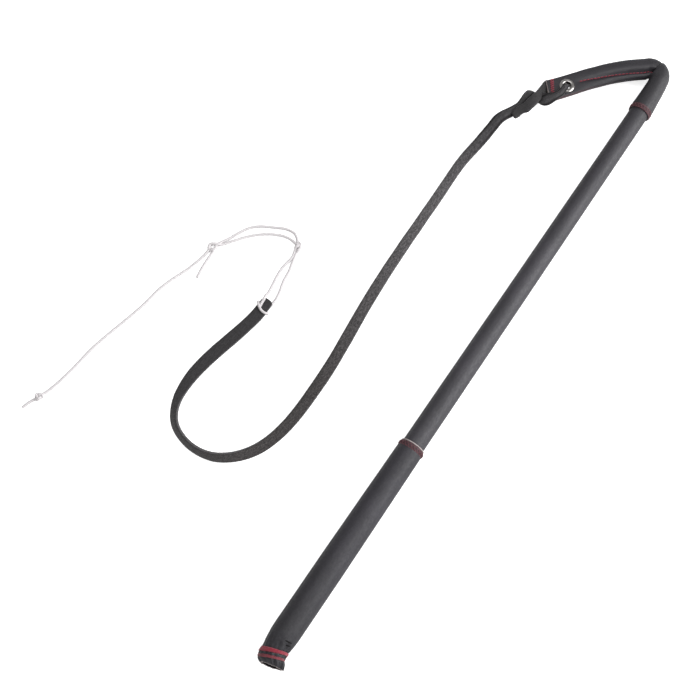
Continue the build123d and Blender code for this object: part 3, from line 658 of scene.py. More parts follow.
def sleeve_ring(station, angles, inset=0.0, relief=1.0):
    centre_y, half_width, half_height, slope = (
        np.interp(station, SLEEVE[:, 0], SLEEVE[:, i]) for i in range(1, 5))
    gather = np.interp(station, *GATHER)
    seam = np.interp(station, [-36.0, -32.0, 148.0, 151.0], [0, 1, 1, 0])
    end = np.interp(station, [-62.2, -57.0], [1.0, 0.0])
    ring = []
    for angle in angles:
        bulge = 0.0
        if gather > 0:
            for at, width, depth, twist in PLEATS:
                off = (angle - at - twist * (station + 45) + math.pi) % TAU - math.pi
                bulge -= gather * depth * math.exp(-(off / width) ** 2)
                ridge = (abs(off) - 2.1 * width) / (0.9 * width)
                bulge += gather * 0.22 * math.exp(-ridge ** 2)
            bulge += gather * 0.35 * wobble_round(station, 12, angle, 0.32, 3.0)
        bulge -= (0.40 * math.exp(-((station - UPPER_BINDING_X) / 1.5) ** 2)
                  + 0.34 * math.exp(-((station - LOWER_BINDING_X) / 0.9) ** 2))
        bulge += (0.055 * wobble_round(station, 12, angle, 0.045, 1.0)
                  + 0.02 * wobble_round(station, 12, angle, 0.3, 5.0))
        bulge += seam * seam_shape(angle, lip=0.16)
        cos, sin = math.cos(angle), math.sin(angle)
        # the open end narrows to a point on the -Y side
        height = half_height * (1 - 0.42 * end * max(0.0, -cos) ** 1.5)
        width = half_width + 1.1 * end * max(0.0, -cos) ** 4
        y = centre_y + (width + relief * bulge - inset) * cos
        z = (height + relief * bulge - min(inset, height * 0.6)) * sin - 0.6 * end
        ragged = 0.9 * sin + 0.5 * wobble_round(0, 9, angle, 0.35, 7.0)
        ring.append((station - slope * (y - centre_y) + end * ragged, y, z))
    return ring


def grip_sleeve():
    angles = ring_angles(132, SEAM_ANGLES)
    stations = [*np.arange(156.9, 151.0, -0.7), *np.arange(151.0, -30.0, -2.6),
                *np.arange(-30.0, -62.2, -0.62), -62.2]
    rings = [sleeve_ring(x, angles) for x in stations]
    lip = len(rings) - 1
    rings.append(sleeve_ring(-62.42, angles, inset=0.35))
    rings.append(sleeve_ring(-62.45, angles, inset=1.1))
    rings.append(sleeve_ring(-62.1, angles, inset=1.55, relief=0.8))
    rings += [sleeve_ring(x, angles, inset=1.7, relief=0.55) for x in np.arange(-61.4, -46.5, 1.2)]
    rings += [round_ring(x, radius, angles) for x, radius in SLEEVE_LINING]
    body = Body()
    body.loop(np.array(rings), band_slots={lip: 1, lip + 1: 1, lip + 2: 1})
    return body.make("grip_sleeve_leather", [GRIP_LEATHER, CUT_EDGE], "stock",
                     ["grip_sleeve"], "grip_leather")


# ------------------------------------------------------------------ stitches on the stock
STITCH = dict(sides=8, step=0.34, ply=2, pitch=2.4, depth=0.16)
HEM_STITCH = dict(sides=8, ply=2, pitch=2.2, depth=0.16)


def stitch(body, start, end, normal, radius, sink, rise):
    start, end, normal = (np.asarray(v, float) for v in (start, end, normal))
    shoulder = normal * rise * 0.55
    body.tube([start - normal * sink, start + (end - start) * 0.08 + shoulder,
               (start + end) / 2 + normal * rise,
               end - (end - start) * 0.08 + shoulder, end - normal * sink], radius, **STITCH)


def seam_stitches(name, start, end, radius_at, replaces):
    """A row along the underside of the stock."""
    length, pitch, slant, sunk = 3.0, 4.3, 0.12, 0.50
    body = Body()
    x = start
    while x + length < end:
        stitch(body, (x, slant, -radius_at(x) + sunk),
               (x + length, -slant, -radius_at(x + length) + sunk),
               (0, 0, -1), radius=0.38, sink=0.2, rise=0.16)
        x += pitch
    body.make(name, [BLACK], "stock", replaces, "black_thread")


# share of the way across, height
HEM_ARCH = ((-0.04, -0.45), (0.04, 0.10), (0.28, 0.30), (0.5, 0.34), (0.72, 0.30), (0.96, 0.10),
            (1.04, -0.45))


def hem_stitches(name, replaces, start, end, start_radius, end_radius, count, thread_radius,
                 seed, ring_x, ring_radius, ring_sway):
    """Crossed slanting stitches from x start to end, and a thread ring at their start."""
    draw = np.random.RandomState(seed).uniform
    body = Body()
    pitch = TAU / count
    for i in range(count):
        middle = i * pitch + draw(-0.06, 0.06) * pitch
        start_shift, end_shift = draw(-0.15, 0.15), draw(-0.15, 0.15)
        for slant, lift in ((1.1, 0.0), (-1.1, 0.34)):
            first, last = middle - slant * pitch / 2, middle + slant * pitch / 2
            path = []
            for f, up in HEM_ARCH:
                x = (start + start_shift) * (1 - f) + (end + end_shift) * f
                over = lift if 0.2 < f < 0.8 else 0.0
                radius = start_radius * (1 - f) + end_radius * f + up + over
                path.append(polar(x, radius, first + (last - first) * f))
            body.tube(path, thread_radius, step=0.42, **HEM_STITCH)
    ring = [polar(ring_x + ring_sway * math.sin(24 * t), ring_radius + 0.05 * math.cos(24 * t), t)
            for t in np.linspace(0, TAU, 150)]
    body.tube(ring, 0.24, step=0.5, **HEM_STITCH)
    body.make(name, [FADED_RED], "stock", replaces, "red_thread")


def grip_hem_edge():
    # x and radius
    profile = ((156.95, 10.24), (156.95, 11.0), (157.05, 11.28), (157.35, 11.38),
               (157.7, 11.3), (157.95, 11.02), (158.0, 10.6), (157.9, 10.24))
    rings = [[polar(x, radius + 0.05 * wobble_round(x, 11, angle, 0.5, 2), angle)
              for angle in ring_angles(120)] for x, radius in profile]
    body = Body()
    body.loop(np.array(rings))
    body.make("grip_hem_cut_edge", [CUT_EDGE], "stock", ["grip_hem_edge"], "cut_edge")


# ------------------------------------------------------------------ shaft cover
SHAFT_START, SHAFT_END = 157.0, 572.0
SHAFT_START_R, SHAFT_END_R = 10.15, 9.25
COVER_START = 120.8


def shaft_radius(x):
    share = (SHAFT_END_R - SHAFT_START_R) * (x - SHAFT_START) / (SHAFT_END - SHAFT_START)
    return SHAFT_START_R + share


def shaft_cover():
    angles = ring_angles(90, SEAM_ANGLES)
    rings = []
    for x in [*np.arange(121.0, SHAFT_END, 2.8), SHAFT_END]:
        seam = np.interp(x, [162, 168, 546, 550], [0, 1, 1, 0])
        base = shaft_radius(max(x, SHAFT_START)) - 0.02
        rings.append([polar(x, base + 0.05 * wobble_round(x, 10, angle, 0.035, 8.0)
                            + seam * seam_shape(angle, lip=0.14), angle) for angle in angles])
    # back along the inside
    for x in (572.2, SHAFT_END, 560, 520, 400, 300, 200, SHAFT_START, 130, 121.2, COVER_START):
        inset = 0.7 if x in (572.2, COVER_START) else 1.5
        rings.append(round_ring(x, shaft_radius(max(x, SHAFT_START)) - inset, angles))
    body = Body()
    body.loop(np.array(rings))
    body.make("shaft_leather_cover", [SHAFT_LEATHER], "stock", ["shaft_cover"], "shaft_leather")


# ------------------------------------------------------------------ butt bindings
def binding(name, material, replaces, station, spread, slope, turns, layers, radius,
            centre_y, half_width, half_height, seed, fan):
    """Thread wound round the gathered sleeve, its turns fanned wider on the +Y side."""
    body = Body()
    path = []
    per_turn = 64
    for i in range(int(turns * per_turn) + 1):
        turn = i / per_turn
        angle = TAU * turn + 0.6
        layer = int(turn / (turns / layers))
        share = (turn % (turns / layers)) / (turns / layers)
        share = share if layer % 2 == 0 else 1 - share
        wide = 0.5 + 0.5 * math.cos(angle)
        x = (station + (share - 0.5) * spread * (1 - fan + fan * wide * 1.25 + 0.12)
             + 0.10 * math.sin(3.1 * angle + seed) * radius)
        lift = radius * (0.85 + 1.45 * layer) + 0.05 * math.sin(5 * angle + 2 * turn)
        y = centre_y + (half_width + lift) * math.cos(angle)
        z = (half_height + lift) * math.sin(angle)
        path.append((x - slope * (y - centre_y), y, z))
    body.tube(path, radius, sides=10, step=0.36, ply=2, pitch=2.8, depth=0.24)
    if layers > 1:
        # the knotted-off thread ends on the -Y side
        x = station - slope * (-half_width - 1.0 - centre_y) + 0.3
        y, z = -half_width - 1.1, 1.6
        for s in (0, 1):
            body.tube([(x - 0.6 + 0.9 * s, y + 0.5, z + 1.2), (x + 0.5 * s, y - 0.5, z + 0.5),
                       (x - 0.4, y - 0.75, z - 0.7), (x - 1.6 - s, y - 0.2 - 0.3 * s, z - 1.9 + s)],
                      radius * 0.85, sides=8, step=0.35, ply=3, pitch=3.0, depth=0.18)
    body.make(name, [material], "stock", replaces, "red_thread")


def tack_stitches(sleeve):
    tree = surface_tree(sleeve)
    arch = ((0.0, -0.5), (0.08, 0.15), (0.35, 0.42), (0.65, 0.42), (0.92, 0.15), (1.0, -0.5))
    body = Body()
    # middle x, degrees from the top, half width in radians
    for middle_x, degrees, half_width in ((-39.0, 37.0, 0.27), (-41.6, 46.0, 0.17)):
        path = []
        for f, up in arch:
            angle = math.radians(90 + degrees) - half_width + 2 * half_width * f
            x = middle_x - 0.5 + 1.0 * f
            inward = Vector((0, -math.cos(angle), -math.sin(angle)))
            hit = tree.ray_cast(Vector(polar(x, 30, angle)), inward)[0]
            path.append(polar(x, math.hypot(hit.y, hit.z) + up, angle))
        body.tube(path, 0.42, **STITCH)
    body.make("butt_tack_stitches", [BLACK], "stock", ["tack_stitches"], "black_thread")


# ------------------------------------------------------------------ keeper
CREASE = np.array((589.6, 11.3))
EYE = np.array((539.2, 72.1))
EYE_HOLE_R = 4.35
TONGUE_HEADING = math.radians(142.0)
TONGUE_ALONG = np.array((math.cos(TONGUE_HEADING), math.sin(TONGUE_HEADING)))
TONGUE_OUT = np.array((math.sin(TONGUE_HEADING), -math.cos(TONGUE_HEADING)))
FOLD_REACH = 11.0 * np.array((math.cos(math.radians(65)), math.sin(math.radians(65))))
FOLD = ("stock", "keeper", (*(CREASE - FOLD_REACH), 0.0), (*(CREASE + FOLD_REACH), 0.0))

# shares across a section, closer together at the groove and the edges, with their side
TOP_HALF = [1, .99, .97, .935, .885, .82, .745, .66, .575, .49, .41, .34, .275, .215, .165, .12,
            .08, .045, .015]
BOTTOM_HALF = [.99, .96, .90, .80, .67, .52, .36, .19]
SECTION = ([(t, 1) for t in TOP_HALF + [-t for t in TOP_HALF[::-1]]]
           + [(t, -1) for t in [-t for t in BOTTOM_HALF] + [0] + BOTTOM_HALF[::-1]])

# x and radius, from the socket's blind end out to its mouth and round the lip
BORE = (
    (579.6, 2.0), (579.5, 6.6), (579.0, 6.9), (573.6, 7.1), (573.2, 9.30), (572.4, 9.40),
    (566.0, 9.42), (560.0, 9.42), (555.0, 9.42), (551.4, 9.42), (550.95, 9.6), (550.85, 10.0),
    (551.1, 10.32), (551.7, 10.42), (552.6, 10.36), (553.6, 10.36), (554.6, 10.36), (555.6, 10.36))
# x, half width, centre y
SOCKET = (
    (556.6, 10.62, 0.0), (557.8, 10.78, 0.0), (561.0, 10.62, 0.05), (564.0, 10.45, 0.1),
    (567.0, 10.30, 0.2), (570.0, 10.15, 0.3), (573.0, 10.0, 0.4), (576.0, 9.85, 0.5),
    (579.0, 9.70, 0.6), (582.0, 9.6, 0.75), (585.0, 9.5, 0.9), (587.6, 9.45, 1.1))
# sections fanned about the crease:
# angle, reach, height up, height down, roundness power, groove depth, groove place
FAN = np.array([
    (-84, 19.1, 10.2, 10.2, 2.0, 0.0, 0.0), (-70, 19.5, 10.0, 9.9, 2.05, 0.0, 0.0),
    (-55, 20.2, 9.7, 9.3, 2.1, 0.0, 0.0), (-42, 20.8, 9.4, 8.7, 2.2, 0.0, 0.0),
    (-30, 21.3, 9.0, 8.0, 2.3, 0.0, 0.0), (-21, 21.7, 8.6, 7.5, 2.4, 0.0, 0.0),
    (-15, 21.9, 8.3, 7.1, 2.4, 0.0, -0.12), (-12, 22.0, 7.9, 6.9, 2.4, 0.05, -0.22),
    (-10.4, 22.0, 7.3, 6.8, 2.4, 0.15, -0.28), (-9.3, 22.0, 6.3, 6.7, 2.4, 0.4, -0.32),
    (-8.2, 21.9, 5.6, 6.6, 2.4, 0.7, -0.36), (-6.6, 21.8, 5.4, 6.5, 2.4, 0.85, -0.38),
    (-4.6, 21.9, 5.6, 6.4, 2.4, 0.85, -0.40), (-1.5, 22.0, 5.9, 6.3, 2.4, 0.82, -0.42),
    (4.0, 22.1, 6.1, 6.2, 2.45, 0.80, -0.44), (12.0, 22.1, 6.1, 6.1, 2.5, 0.76, -0.46),
    (21.0, 22.0, 6.1, 6.0, 2.5, 0.74, -0.46), (31.0, 21.9, 6.0, 6.0, 2.5, 0.74, -0.46),
])
# x, y, z (unused), heading, half width, height up, height down, middle z, roundness power,
# groove depth, groove place, skew of the end cut, rim weight
TONGUE = np.array([
    (596.6, 19.6, 0, 130.0, 10.8, 6.0, 6.0, 0.0, 2.5, 0.74, -0.46, 0.0, 0.0),
    (586.5, 32.0, 0, 131.5, 10.8, 5.7, 5.5, -0.3, 2.6, 0.72, -0.40, 0.0, 0.0),
    (573.0, 46.0, 0, 137.0, 10.8, 4.9, 4.6, -1.0, 2.8, 0.62, -0.31, 0.0, 0.08),
    (564.6, 53.4, 0, 138.5, 10.8, 4.3, 4.0, -1.5, 3.0, 0.48, -0.24, 0.0, 0.15),
    (557.0, 60.0, 0, 139.5, 10.8, 3.6, 3.5, -1.9, 3.4, 0.32, -0.16, 0.0, 0.3),
    (550.0, 65.4, 0, 140.5, 10.8, 3.0, 3.0, -2.3, 4.0, 0.15, -0.08, 0.0, 0.45),
    (544.5, 69.6, 0, 141.2, 10.85, 2.65, 2.7, -2.55, 5.0, 0.0, 0.0, 0.1, 0.55),
    (539.2, 73.6, 0, 141.5, 10.9, 2.55, 2.6, -2.6, 5.5, 0.0, 0.0, 0.4, 0.6),
    (532.2, 79.0, 0, 142.0, 11.1, 2.5, 2.5, -2.65, 5.0, 0.0, 0.0, 1.2, 1.0),
    (526.0, 83.9, 0, 142.0, 11.4, 2.4, 2.4, -2.7, 4.5, 0.0, 0.0, 2.0, 1.0),
    (525.4, 84.4, 0, 142.0, 11.35, 2.2, 2.2, -2.7, 4.0, 0.0, 0.0, 2.1, 1.0),
    (525.05, 84.7, 0, 142.0, 11.1, 1.75, 1.75, -2.7, 3.6, 0.0, 0.0, 2.15, 1.0),
])


def keeper_ring(cx, cy, ux, uy, half_width, up, down, middle_z, power, groove, groove_at,
                skew=0.0, run=0.0, rim=0.0):
    """Section centred on (cx, cy) and lying across (ux, uy), with its lay."""
    points, lay = [], []
    near_fold = math.exp(-(((cx - 597.0) ** 2 + (cy - 8.0) ** 2) / 260.0))
    for share, side in SECTION:
        t = share + groove_at * (1 - share * share) if side > 0 else share
        rounding = max(0.0, 1 - abs(t) ** power) ** (1.0 / power)
        if side > 0:
            dip = (groove * math.exp(-(share / 0.20) ** 2)
                   - 0.05 * groove * math.exp(-((abs(share) - 0.45) / 0.25) ** 2))
            z = middle_z + up * rounding * (1 - dip)
        else:
            z = middle_z - down * rounding
        bulge = 0.06 * wobble(cx + ux * t * half_width, cy + uy * t * half_width, z, 0.16, 6.0)
        # creases that deepen outwards round the fold
        outward = min(1.0, max(0.0, (t + 0.2) / 0.9))
        bulge += side * near_fold * rounding * (
            0.34 * (0.35 + outward) * wobble(run, t * 3.0, 2.0 * side, 0.16, 2.5)
            + 0.12 * wobble(run, t * 6.0, side, 0.45, 8.0))
        off = skew * t
        points.append((cx + ux * half_width * t - uy * off,
                       cy + uy * half_width * t + ux * off, z + bulge))
        lay.append((0.0, t, rim))
    return points, lay


def keeper_rings():
    """Rings and lay from the blind end of the bore to the tongue's end, and the groove."""
    sections, groove_line = [], []
    for x, radius in BORE:
        sections.append((
            [(x, -radius * t, side * radius * math.sqrt(max(0.0, 1 - t * t)))
             for t, side in SECTION],
            [(0.0, t, 0.0) for t, _ in SECTION]))
    for x, width, cy in SOCKET:
        height = width + (10.5 - width) * 0.75
        sections.append(keeper_ring(x, cy, 0.0, -1.0, width, height, height, 0.0, 2.0,
                                    0.0, 0.0, run=x))
    angles = np.concatenate([np.arange(-84, 31.5, 1.5), np.arange(-13, -3, 0.6)])
    for angle in sorted(set(np.round(angles, 2))):
        reach, up, down, power, groove, groove_at = (
            np.interp(angle, FAN[:, 0], FAN[:, i]) for i in range(1, 7))
        ux, uy = math.cos(math.radians(angle)), math.sin(math.radians(angle))
        inner = 0.7 + 0.3 * math.cos(math.radians(angle + 25))
        width = (reach - inner) / 2
        cx, cy = CREASE[0] + ux * (inner + width), CREASE[1] + uy * (inner + width)
        if angle > -5.5:
            groove_line.append((cx + ux * width * groove_at, cy + uy * width * groove_at))
        sections.append(keeper_ring(cx, cy, ux, uy, width, up, down, 0.0, power,
                                    groove, groove_at, run=600 + angle))
    for row in np.vstack([curve(TONGUE[:-2], 1.5), TONGUE[-2:]]):
        cx, cy, _, heading, width, up, down, middle_z, power, groove, groove_at, skew, rim = row
        ux, uy = math.sin(math.radians(heading)), -math.cos(math.radians(heading))
        if cx > 548.6:
            groove_line.append((cx + ux * width * groove_at, cy + uy * width * groove_at))
        sections.append(keeper_ring(cx, cy, ux, uy, width, up, down, middle_z, power,
                                    groove, groove_at, skew=-skew, run=700, rim=rim))
    rings, lay = (np.array(part) for part in zip(*sections))
    lay[:, :, 0] = arc(rings.mean(axis=1))[:, None]
    return rings, lay, groove_line


def keeper():
    rings, lay, groove_line = keeper_rings()
    body = Body()
    body.rings(rings, lay, band_slots={len(rings) - 2: 1}, end_slot=1)
    outline = [(EYE[0] + EYE_HOLE_R * math.cos(q), EYE[1] + EYE_HOLE_R * math.sin(q))
               for q in np.arange(48) * TAU / 48]
    mesh = cut_through(body.mesh("keeper_raw", [KEEPER_LEATHER, CUT_EDGE]), outline,
                       heights=(-14.0, -2.6, 8.0), name="hole")
    mesh.name = "keeper_leather"
    part = settle("keeper_leather_fold", mesh, FOLD,
                  ["keeper_socket", "keeper_tongue", "keeper_fold_lining", "keeper_inner_strip"])
    return part, groove_line


def top_of(tree, x, y):
    return tree.ray_cast(Vector((x, y, 30.0)), Vector((0, 0, -1)))[0].z


def keeper_seam(tree, groove_line):
    """Long row of stitches in the groove."""
    length, pitch = 2.3, 3.45
    line = curve([(x, y, 0.0) for x, y in groove_line[::3] + groove_line[-1:]], 0.1)
    run = arc(line)
    arch = ((0.0, -0.45), (0.07, 0.12), (0.3, 0.34), (0.5, 0.40), (0.7, 0.34), (0.93, 0.12),
            (1.0, -0.45))
    body = Body()
    at = 0.2
    while at + 2.4 < run[-1]:
        path = []
        for f, up in arch:
            x, y = line[min(np.searchsorted(run, at + length * f), len(line) - 1)][:2]
            path.append((x, y, top_of(tree, x, y) + up))
        body.tube(path, 0.42, **STITCH)
        at += pitch
    body.make("keeper_seam_stitches", [RED], FOLD, ["keeper_seam_thread"], "red_thread")


def keeper_end_row(tree):
    """Row of stitches across the tongue's end."""
    body = Body()
    for i in range(10):
        out = 10.6 - i * 2.15
        middle = EYE + TONGUE_ALONG * (14.9 - 0.33 * out) + TONGUE_OUT * out
        start = middle - TONGUE_ALONG * 1.75 + TONGUE_OUT * 0.45
        end = middle + TONGUE_ALONG * 1.75 - TONGUE_OUT * 0.45
        stitch(body, (*start, top_of(tree, *start) + 0.05), (*end, top_of(tree, *end) + 0.05),
               UP, radius=0.52, sink=0.7, rise=0.34)
    body.make("keeper_end_stitch_row", [RED], "keeper", ["keeper_end_stitches"], "red_thread")


# ------------------------------------------------------------------ eyelet
# radius and z of the turned profiles
BARREL = (
    (3.72, -5.6), (3.70, -3.0), (3.70, -0.3), (3.76, 0.35), (3.98, 0.85), (4.4, 1.18),
    (4.95, 1.32), (5.6, 1.28), (6.3, 1.08), (6.9, 0.74), (7.28, 0.36), (7.4, 0.08), (7.3, -0.02),
    (6.9, 0.0), (6.0, 0.04), (5.0, 0.04), (4.5, -0.1), (4.34, -0.5), (4.3, -3.0), (4.3, -5.2),
    (4.6, -5.7), (4.7, -6.0), (4.4, -6.25), (4.0, -6.1), (3.78, -5.9))
WASHER = (
    (4.85, -5.25), (5.6, -5.2), (6.6, -5.25), (7.05, -5.45), (7.1, -5.7), (6.8, -5.95),
    (6.0, -6.15), (5.2, -6.1), (4.8, -5.85), (4.75, -5.5))


def eyelet():
    angles = np.arange(96) * TAU / 96
    for name, profile, replaces in (("eyelet_barrel_rolled", BARREL, "eyelet_barrel"),
                                    ("eyelet_washer_ring", WASHER, "eyelet_washer")):
        body = Body()
        body.loop(np.array([[(EYE[0] + r * math.cos(t), EYE[1] + r * math.sin(t), z)
                             for t in angles] for r, z in profile]))
        body.make(name, [NICKEL], "keeper", [replaces], "nickel")


# ------------------------------------------------------------------ lash
# x, y, width of the lash from the head to its tip
LASH = np.array([
    (486.6, 106.8, 11.4), (478.4, 109.0, 11.0), (465.9, 110.3, 10.7), (453.2, 111.1, 10.9),
    (440.8, 112.2, 10.7), (428.6, 113.6, 10.6), (416.1, 114.4, 10.2), (403.8, 114.3, 10.0),
    (387.3, 113.8, 10.1), (371.0, 113.3, 10.1), (354.8, 113.1, 10.1), (338.7, 112.7, 10.3),
    (322.9, 112.5, 10.4), (307.0, 112.0, 10.4), (291.3, 111.5, 10.6), (275.7, 110.7, 10.8),
    (260.3, 109.7, 10.9), (244.9, 108.5, 11.0), (229.8, 107.0, 11.2), (214.6, 105.4, 11.3),
    (199.7, 103.9, 11.4), (184.8, 102.6, 11.4), (170.0, 101.8, 11.5), (155.4, 101.5, 11.4),
    (140.9, 101.4, 11.2), (126.5, 101.8, 11.0), (112.3, 103.1, 10.8), (98.3, 105.8, 10.5),
    (85.0, 110.2, 10.2), (73.0, 117.0, 9.8), (62.7, 126.3, 9.4), (54.9, 137.9, 9.0),
    (51.2, 151.7, 8.6), (51.8, 166.2, 8.2), (56.8, 180.1, 7.6), (63.2, 187.9, 7.6),
    (70.8, 193.0, 8.2), (80.7, 196.8, 9.6), (91.4, 198.6, 10.6), (105.9, 199.1, 11.6),
    (120.2, 197.6, 12.3), (134.4, 194.9, 12.6), (148.5, 191.5, 12.6), (162.5, 188.2, 12.4),
    (177.0, 185.5, 12.2), (184.4, 184.6, 12.2), (201.4, 184.3, 11.4),
])
LASH_RUN = arc(LASH[:, :2])
# where the lash bends between its bodies, and where its meshes part, as lengths along it
BENDS = [92.0, 200.0, 305.0, 396.0, 470.0, 556.0]
PARTINGS = [46.0] + [(a + b) / 2 for a, b in zip(BENDS, BENDS[1:])] + [598.0]
LINKS = ["lash_head", "lash_2", "lash_3", "lash_4", "lash_5", "lash_6", "lash_7"]

HEAD_HEADING = math.radians(146.0)
HEAD_ALONG = np.array((math.cos(HEAD_HEADING), math.sin(HEAD_HEADING)))
HEAD_SIDE = np.array((-math.sin(HEAD_HEADING), math.cos(HEAD_HEADING)))
# shift along and sideways per millimetre of height in the two leaning tables
HEAD_LEAN = (0.367, 0.49)
# along, sideways, z, width, thickness, roll: from the free end back under the keeper ...
HEAD_UNDER = (
    (61.8, 10.6, -8.0, 5.2, 2.0, 6), (60.9, 10.3, -7.6, 7.6, 2.6, 6),
    (57.2, 9.2, -6.4, 9.0, 2.9, 4), (51.6, 7.2, -4.2, 9.2, 2.9, 0),
    (46.4, 7.0, -2.2, 10.8, 2.9, -8), (41.4, 4.6, -0.6, 11.4, 2.9, -6),
    (35.2, 2.0, 0.6, 10.8, 2.9, 2), (29.4, -0.8, 0.0, 10.2, 2.9, 10),
    (24.4, -3.6, -1.8, 11.0, 2.9, 18), (19.8, -6.0, -4.8, 12.2, 2.9, 20),
    (16.0, -6.9, -7.6, 10.8, 2.8, 12))
# ... up through the eyelet ...
HEAD_THROUGH = (
    (9.0, -5.0, -9.0, 7.2, 2.6, 4), (4.6, -1.6, -8.7, 6.4, 2.6, 0),
    (2.0, -0.2, -6.6, 6.4, 2.8, 0), (1.4, 0.0, -3.0, 6.4, 3.4, 0),
    (1.4, 0.4, 0.0, 6.6, 3.4, 0), (3.4, 1.8, 2.3, 7.6, 2.9, 0))
# ... and over the keeper to the lash
HEAD_OVER = (
    (8.0, 4.4, 3.0, 8.0, 2.8, -4), (13.8, 5.8, 2.5, 7.8, 2.8, -8),
    (19.8, 5.9, 0.8, 10.6, 2.8, -12), (25.6, 6.6, -1.6, 11.4, 2.8, -18),
    (30.6, 5.6, -4.6, 11.0, 2.8, -12), (33.2, 1.2, -6.6, 11.6, 2.8, 0),
    (34.6, -3.6, -5.0, 11.0, 2.8, 12), (37.6, -5.0, -3.2, 10.4, 2.8, 16),
    (41.8, -2.6, -4.8, 11.0, 2.8, 8), (46.8, 1.4, -7.2, 11.4, 2.8, 0),
    (52.4, 4.4, -8.8, 10.6, 2.9, 0), (58.0, 5.4, -9.8, 10.2, 3.1, 0))


def head_point(along, side, z, width, thickness, roll):
    return (EYE[0] + HEAD_ALONG[0] * along + HEAD_SIDE[0] * side,
            EYE[1] + HEAD_ALONG[1] * along + HEAD_SIDE[1] * side, z, width, thickness, roll)


def leaning_point(along, side, z, *section):
    return head_point(along + HEAD_LEAN[0] * z, side + HEAD_LEAN[1] * z, z, *section)


def strap_path():
    """x, y, z, width, thickness and roll all along the strap, free end to tip."""
    stations = ([leaning_point(*row) for row in HEAD_UNDER]
                + [head_point(*row) for row in HEAD_THROUGH]
                + [leaning_point(*row) for row in HEAD_OVER])
    thickness = 3.3
    for (x, y, width), run in zip(LASH, LASH_RUN):
        if run < 6.0:
            continue
        # the strap stands on its edge round the bend
        roll = float(np.interp(run, [352, 382, 410, 436, 462, 484, 505, 525, 548],
                               [0, 7, 28, 56, 70, 66, 42, 15, 0]))
        sin, cos = abs(math.sin(math.radians(roll))), abs(math.cos(math.radians(roll)))
        on_edge = sin ** 2
        width = width * (1 - on_edge) + 11.4 * on_edge
        z = -12.5 + 0.5 * width * sin + 0.5 * thickness * cos + 0.2
        z += (float(np.interp(run, [6, 22], [1.4, 0.0]))
              + float(np.interp(run, [568, 596], [0.0, 1.35])))
        stations.append((x, y, z, width, thickness, -roll))
    return curve(np.array(stations), 0.85)


def strap_section(width, thickness, crown):
    """Flat section with rounded edges, as (across, up, share across, side)."""
    half, high = width / 2, thickness / 2
    corner = min(high * 0.92, 1.45)
    flat = half - corner
    columns = 15
    points = []
    for i in range(columns):
        u = 1 - 2 * i / (columns - 1)
        points.append((u * flat, high + crown * (1 - u * u), u * flat / half, 1.0))
    for degrees in (112, 135, 157, 180, 203, 225, 248):
        cos, sin = math.cos(math.radians(degrees)), math.sin(math.radians(degrees))
        points.append((-flat + corner * cos, high * sin, -1 + (1 + cos) * corner / half, sin))
    for i in range(columns):
        u = -1 + 2 * i / (columns - 1)
        points.append((u * flat, -high - min(crown, 0.5) * 0.4 * (1 - u * u),
                       u * flat / half, -1.0))
    for degrees in (-68, -45, -23, 0, 23, 45, 68):
        cos, sin = math.cos(math.radians(degrees)), math.sin(math.radians(degrees))
        points.append((flat + corner * cos, high * sin, 1 - (1 - cos) * corner / half, sin))
    return points


class Strap:
    """The whole strap's rings, from which the head, lengths and tip are taken."""

    def __init__(self):
        path = strap_path()
        self.centres = path[:, :3]
        self.tangent = tangents(self.centres)
        run = arc(self.centres)
        # measured so that the tip reads the lash's own length; the head comes out negative
        self.run = run - (run[-1] - LASH_RUN[-1])
        head_side = np.array((*HEAD_SIDE, 0.0))
        rings, lays = [], []
        for row, tangent, run in zip(path, self.tangent, self.run):
            centre, width, thickness, roll = row[:3], row[3], row[4], math.radians(row[5])
            # in the head the sections stay parallel, so crossing runs never fold over themselves
            share = np.clip((run + 2.0) / 10.0, 0, 1)
            level = np.array((-tangent[1], tangent[0], 0.0))
            if level @ head_side < 0 and run < 8.0:
                level = -level
            side = unit(head_side * (1 - share) + unit(level) * share)
            normal = unit(np.cross(tangent, side))
            across = side * math.cos(roll) + normal * math.sin(roll)
            up = -side * math.sin(roll) + normal * math.cos(roll)
            crown = float(np.interp(run, [2, 22], [1.7, 0.22]))
            ring, lay = [], []
            for a, u, lateral, face in strap_section(width, thickness, crown):
                fuzz = (0.10 * wobble(run, lateral * 9, face * 2, 0.55, 4.0)
                        + 0.06 * wobble(run, lateral * 9, face * 2, 1.6, 9.0))
                grow = 0.5 * wobble(run, 0.0, face, 0.05, 1.5)
                outward = unit(across * a * 0.35 + up * u)
                ring.append(centre + across * a + up * u + outward * fuzz
                            + across * (a / max(width, 1)) * grow * 0.5)
                lay.append((run, lateral, face))
            rings.append(ring)
            lays.append(lay)
        self.rings, self.lay = np.array(rings), np.array(lays)

    def index(self, run):
        return int(np.argmin(np.abs(self.run - run)))

    def make(self, name, first, last, moves, replaces):
        body = Body()
        body.rings(self.rings[first:last + 1], self.lay[first:last + 1], sharp_caps=True)
        body.make(name, [STRAP], moves, replaces, "lash_suede")


def lash_lengths(strap):
    partings = [strap.index(run) for run in PARTINGS]
    strap.make("lash_head_braided", 0, partings[0], "lash_head",
               ["lash_loop", "lash_braid", "lash_end_tab", "lash_strap_1"])
    for k, bend in enumerate(BENDS):
        i = strap.index(bend)
        reach = 25.0 if k != 5 else 24.0
        start = strap.centres[i] - strap.tangent[i] * reach
        end = strap.centres[i] + strap.tangent[i] * reach
        start[2] = end[2] = strap.centres[i][2]
        strap.make("lash_length_%d" % (k + 1), partings[k], partings[k + 1],
                   (LINKS[k], LINKS[k + 1], start, end),
                   ["lash_strap_%d" % (k + 2)] if k < 5 else [])


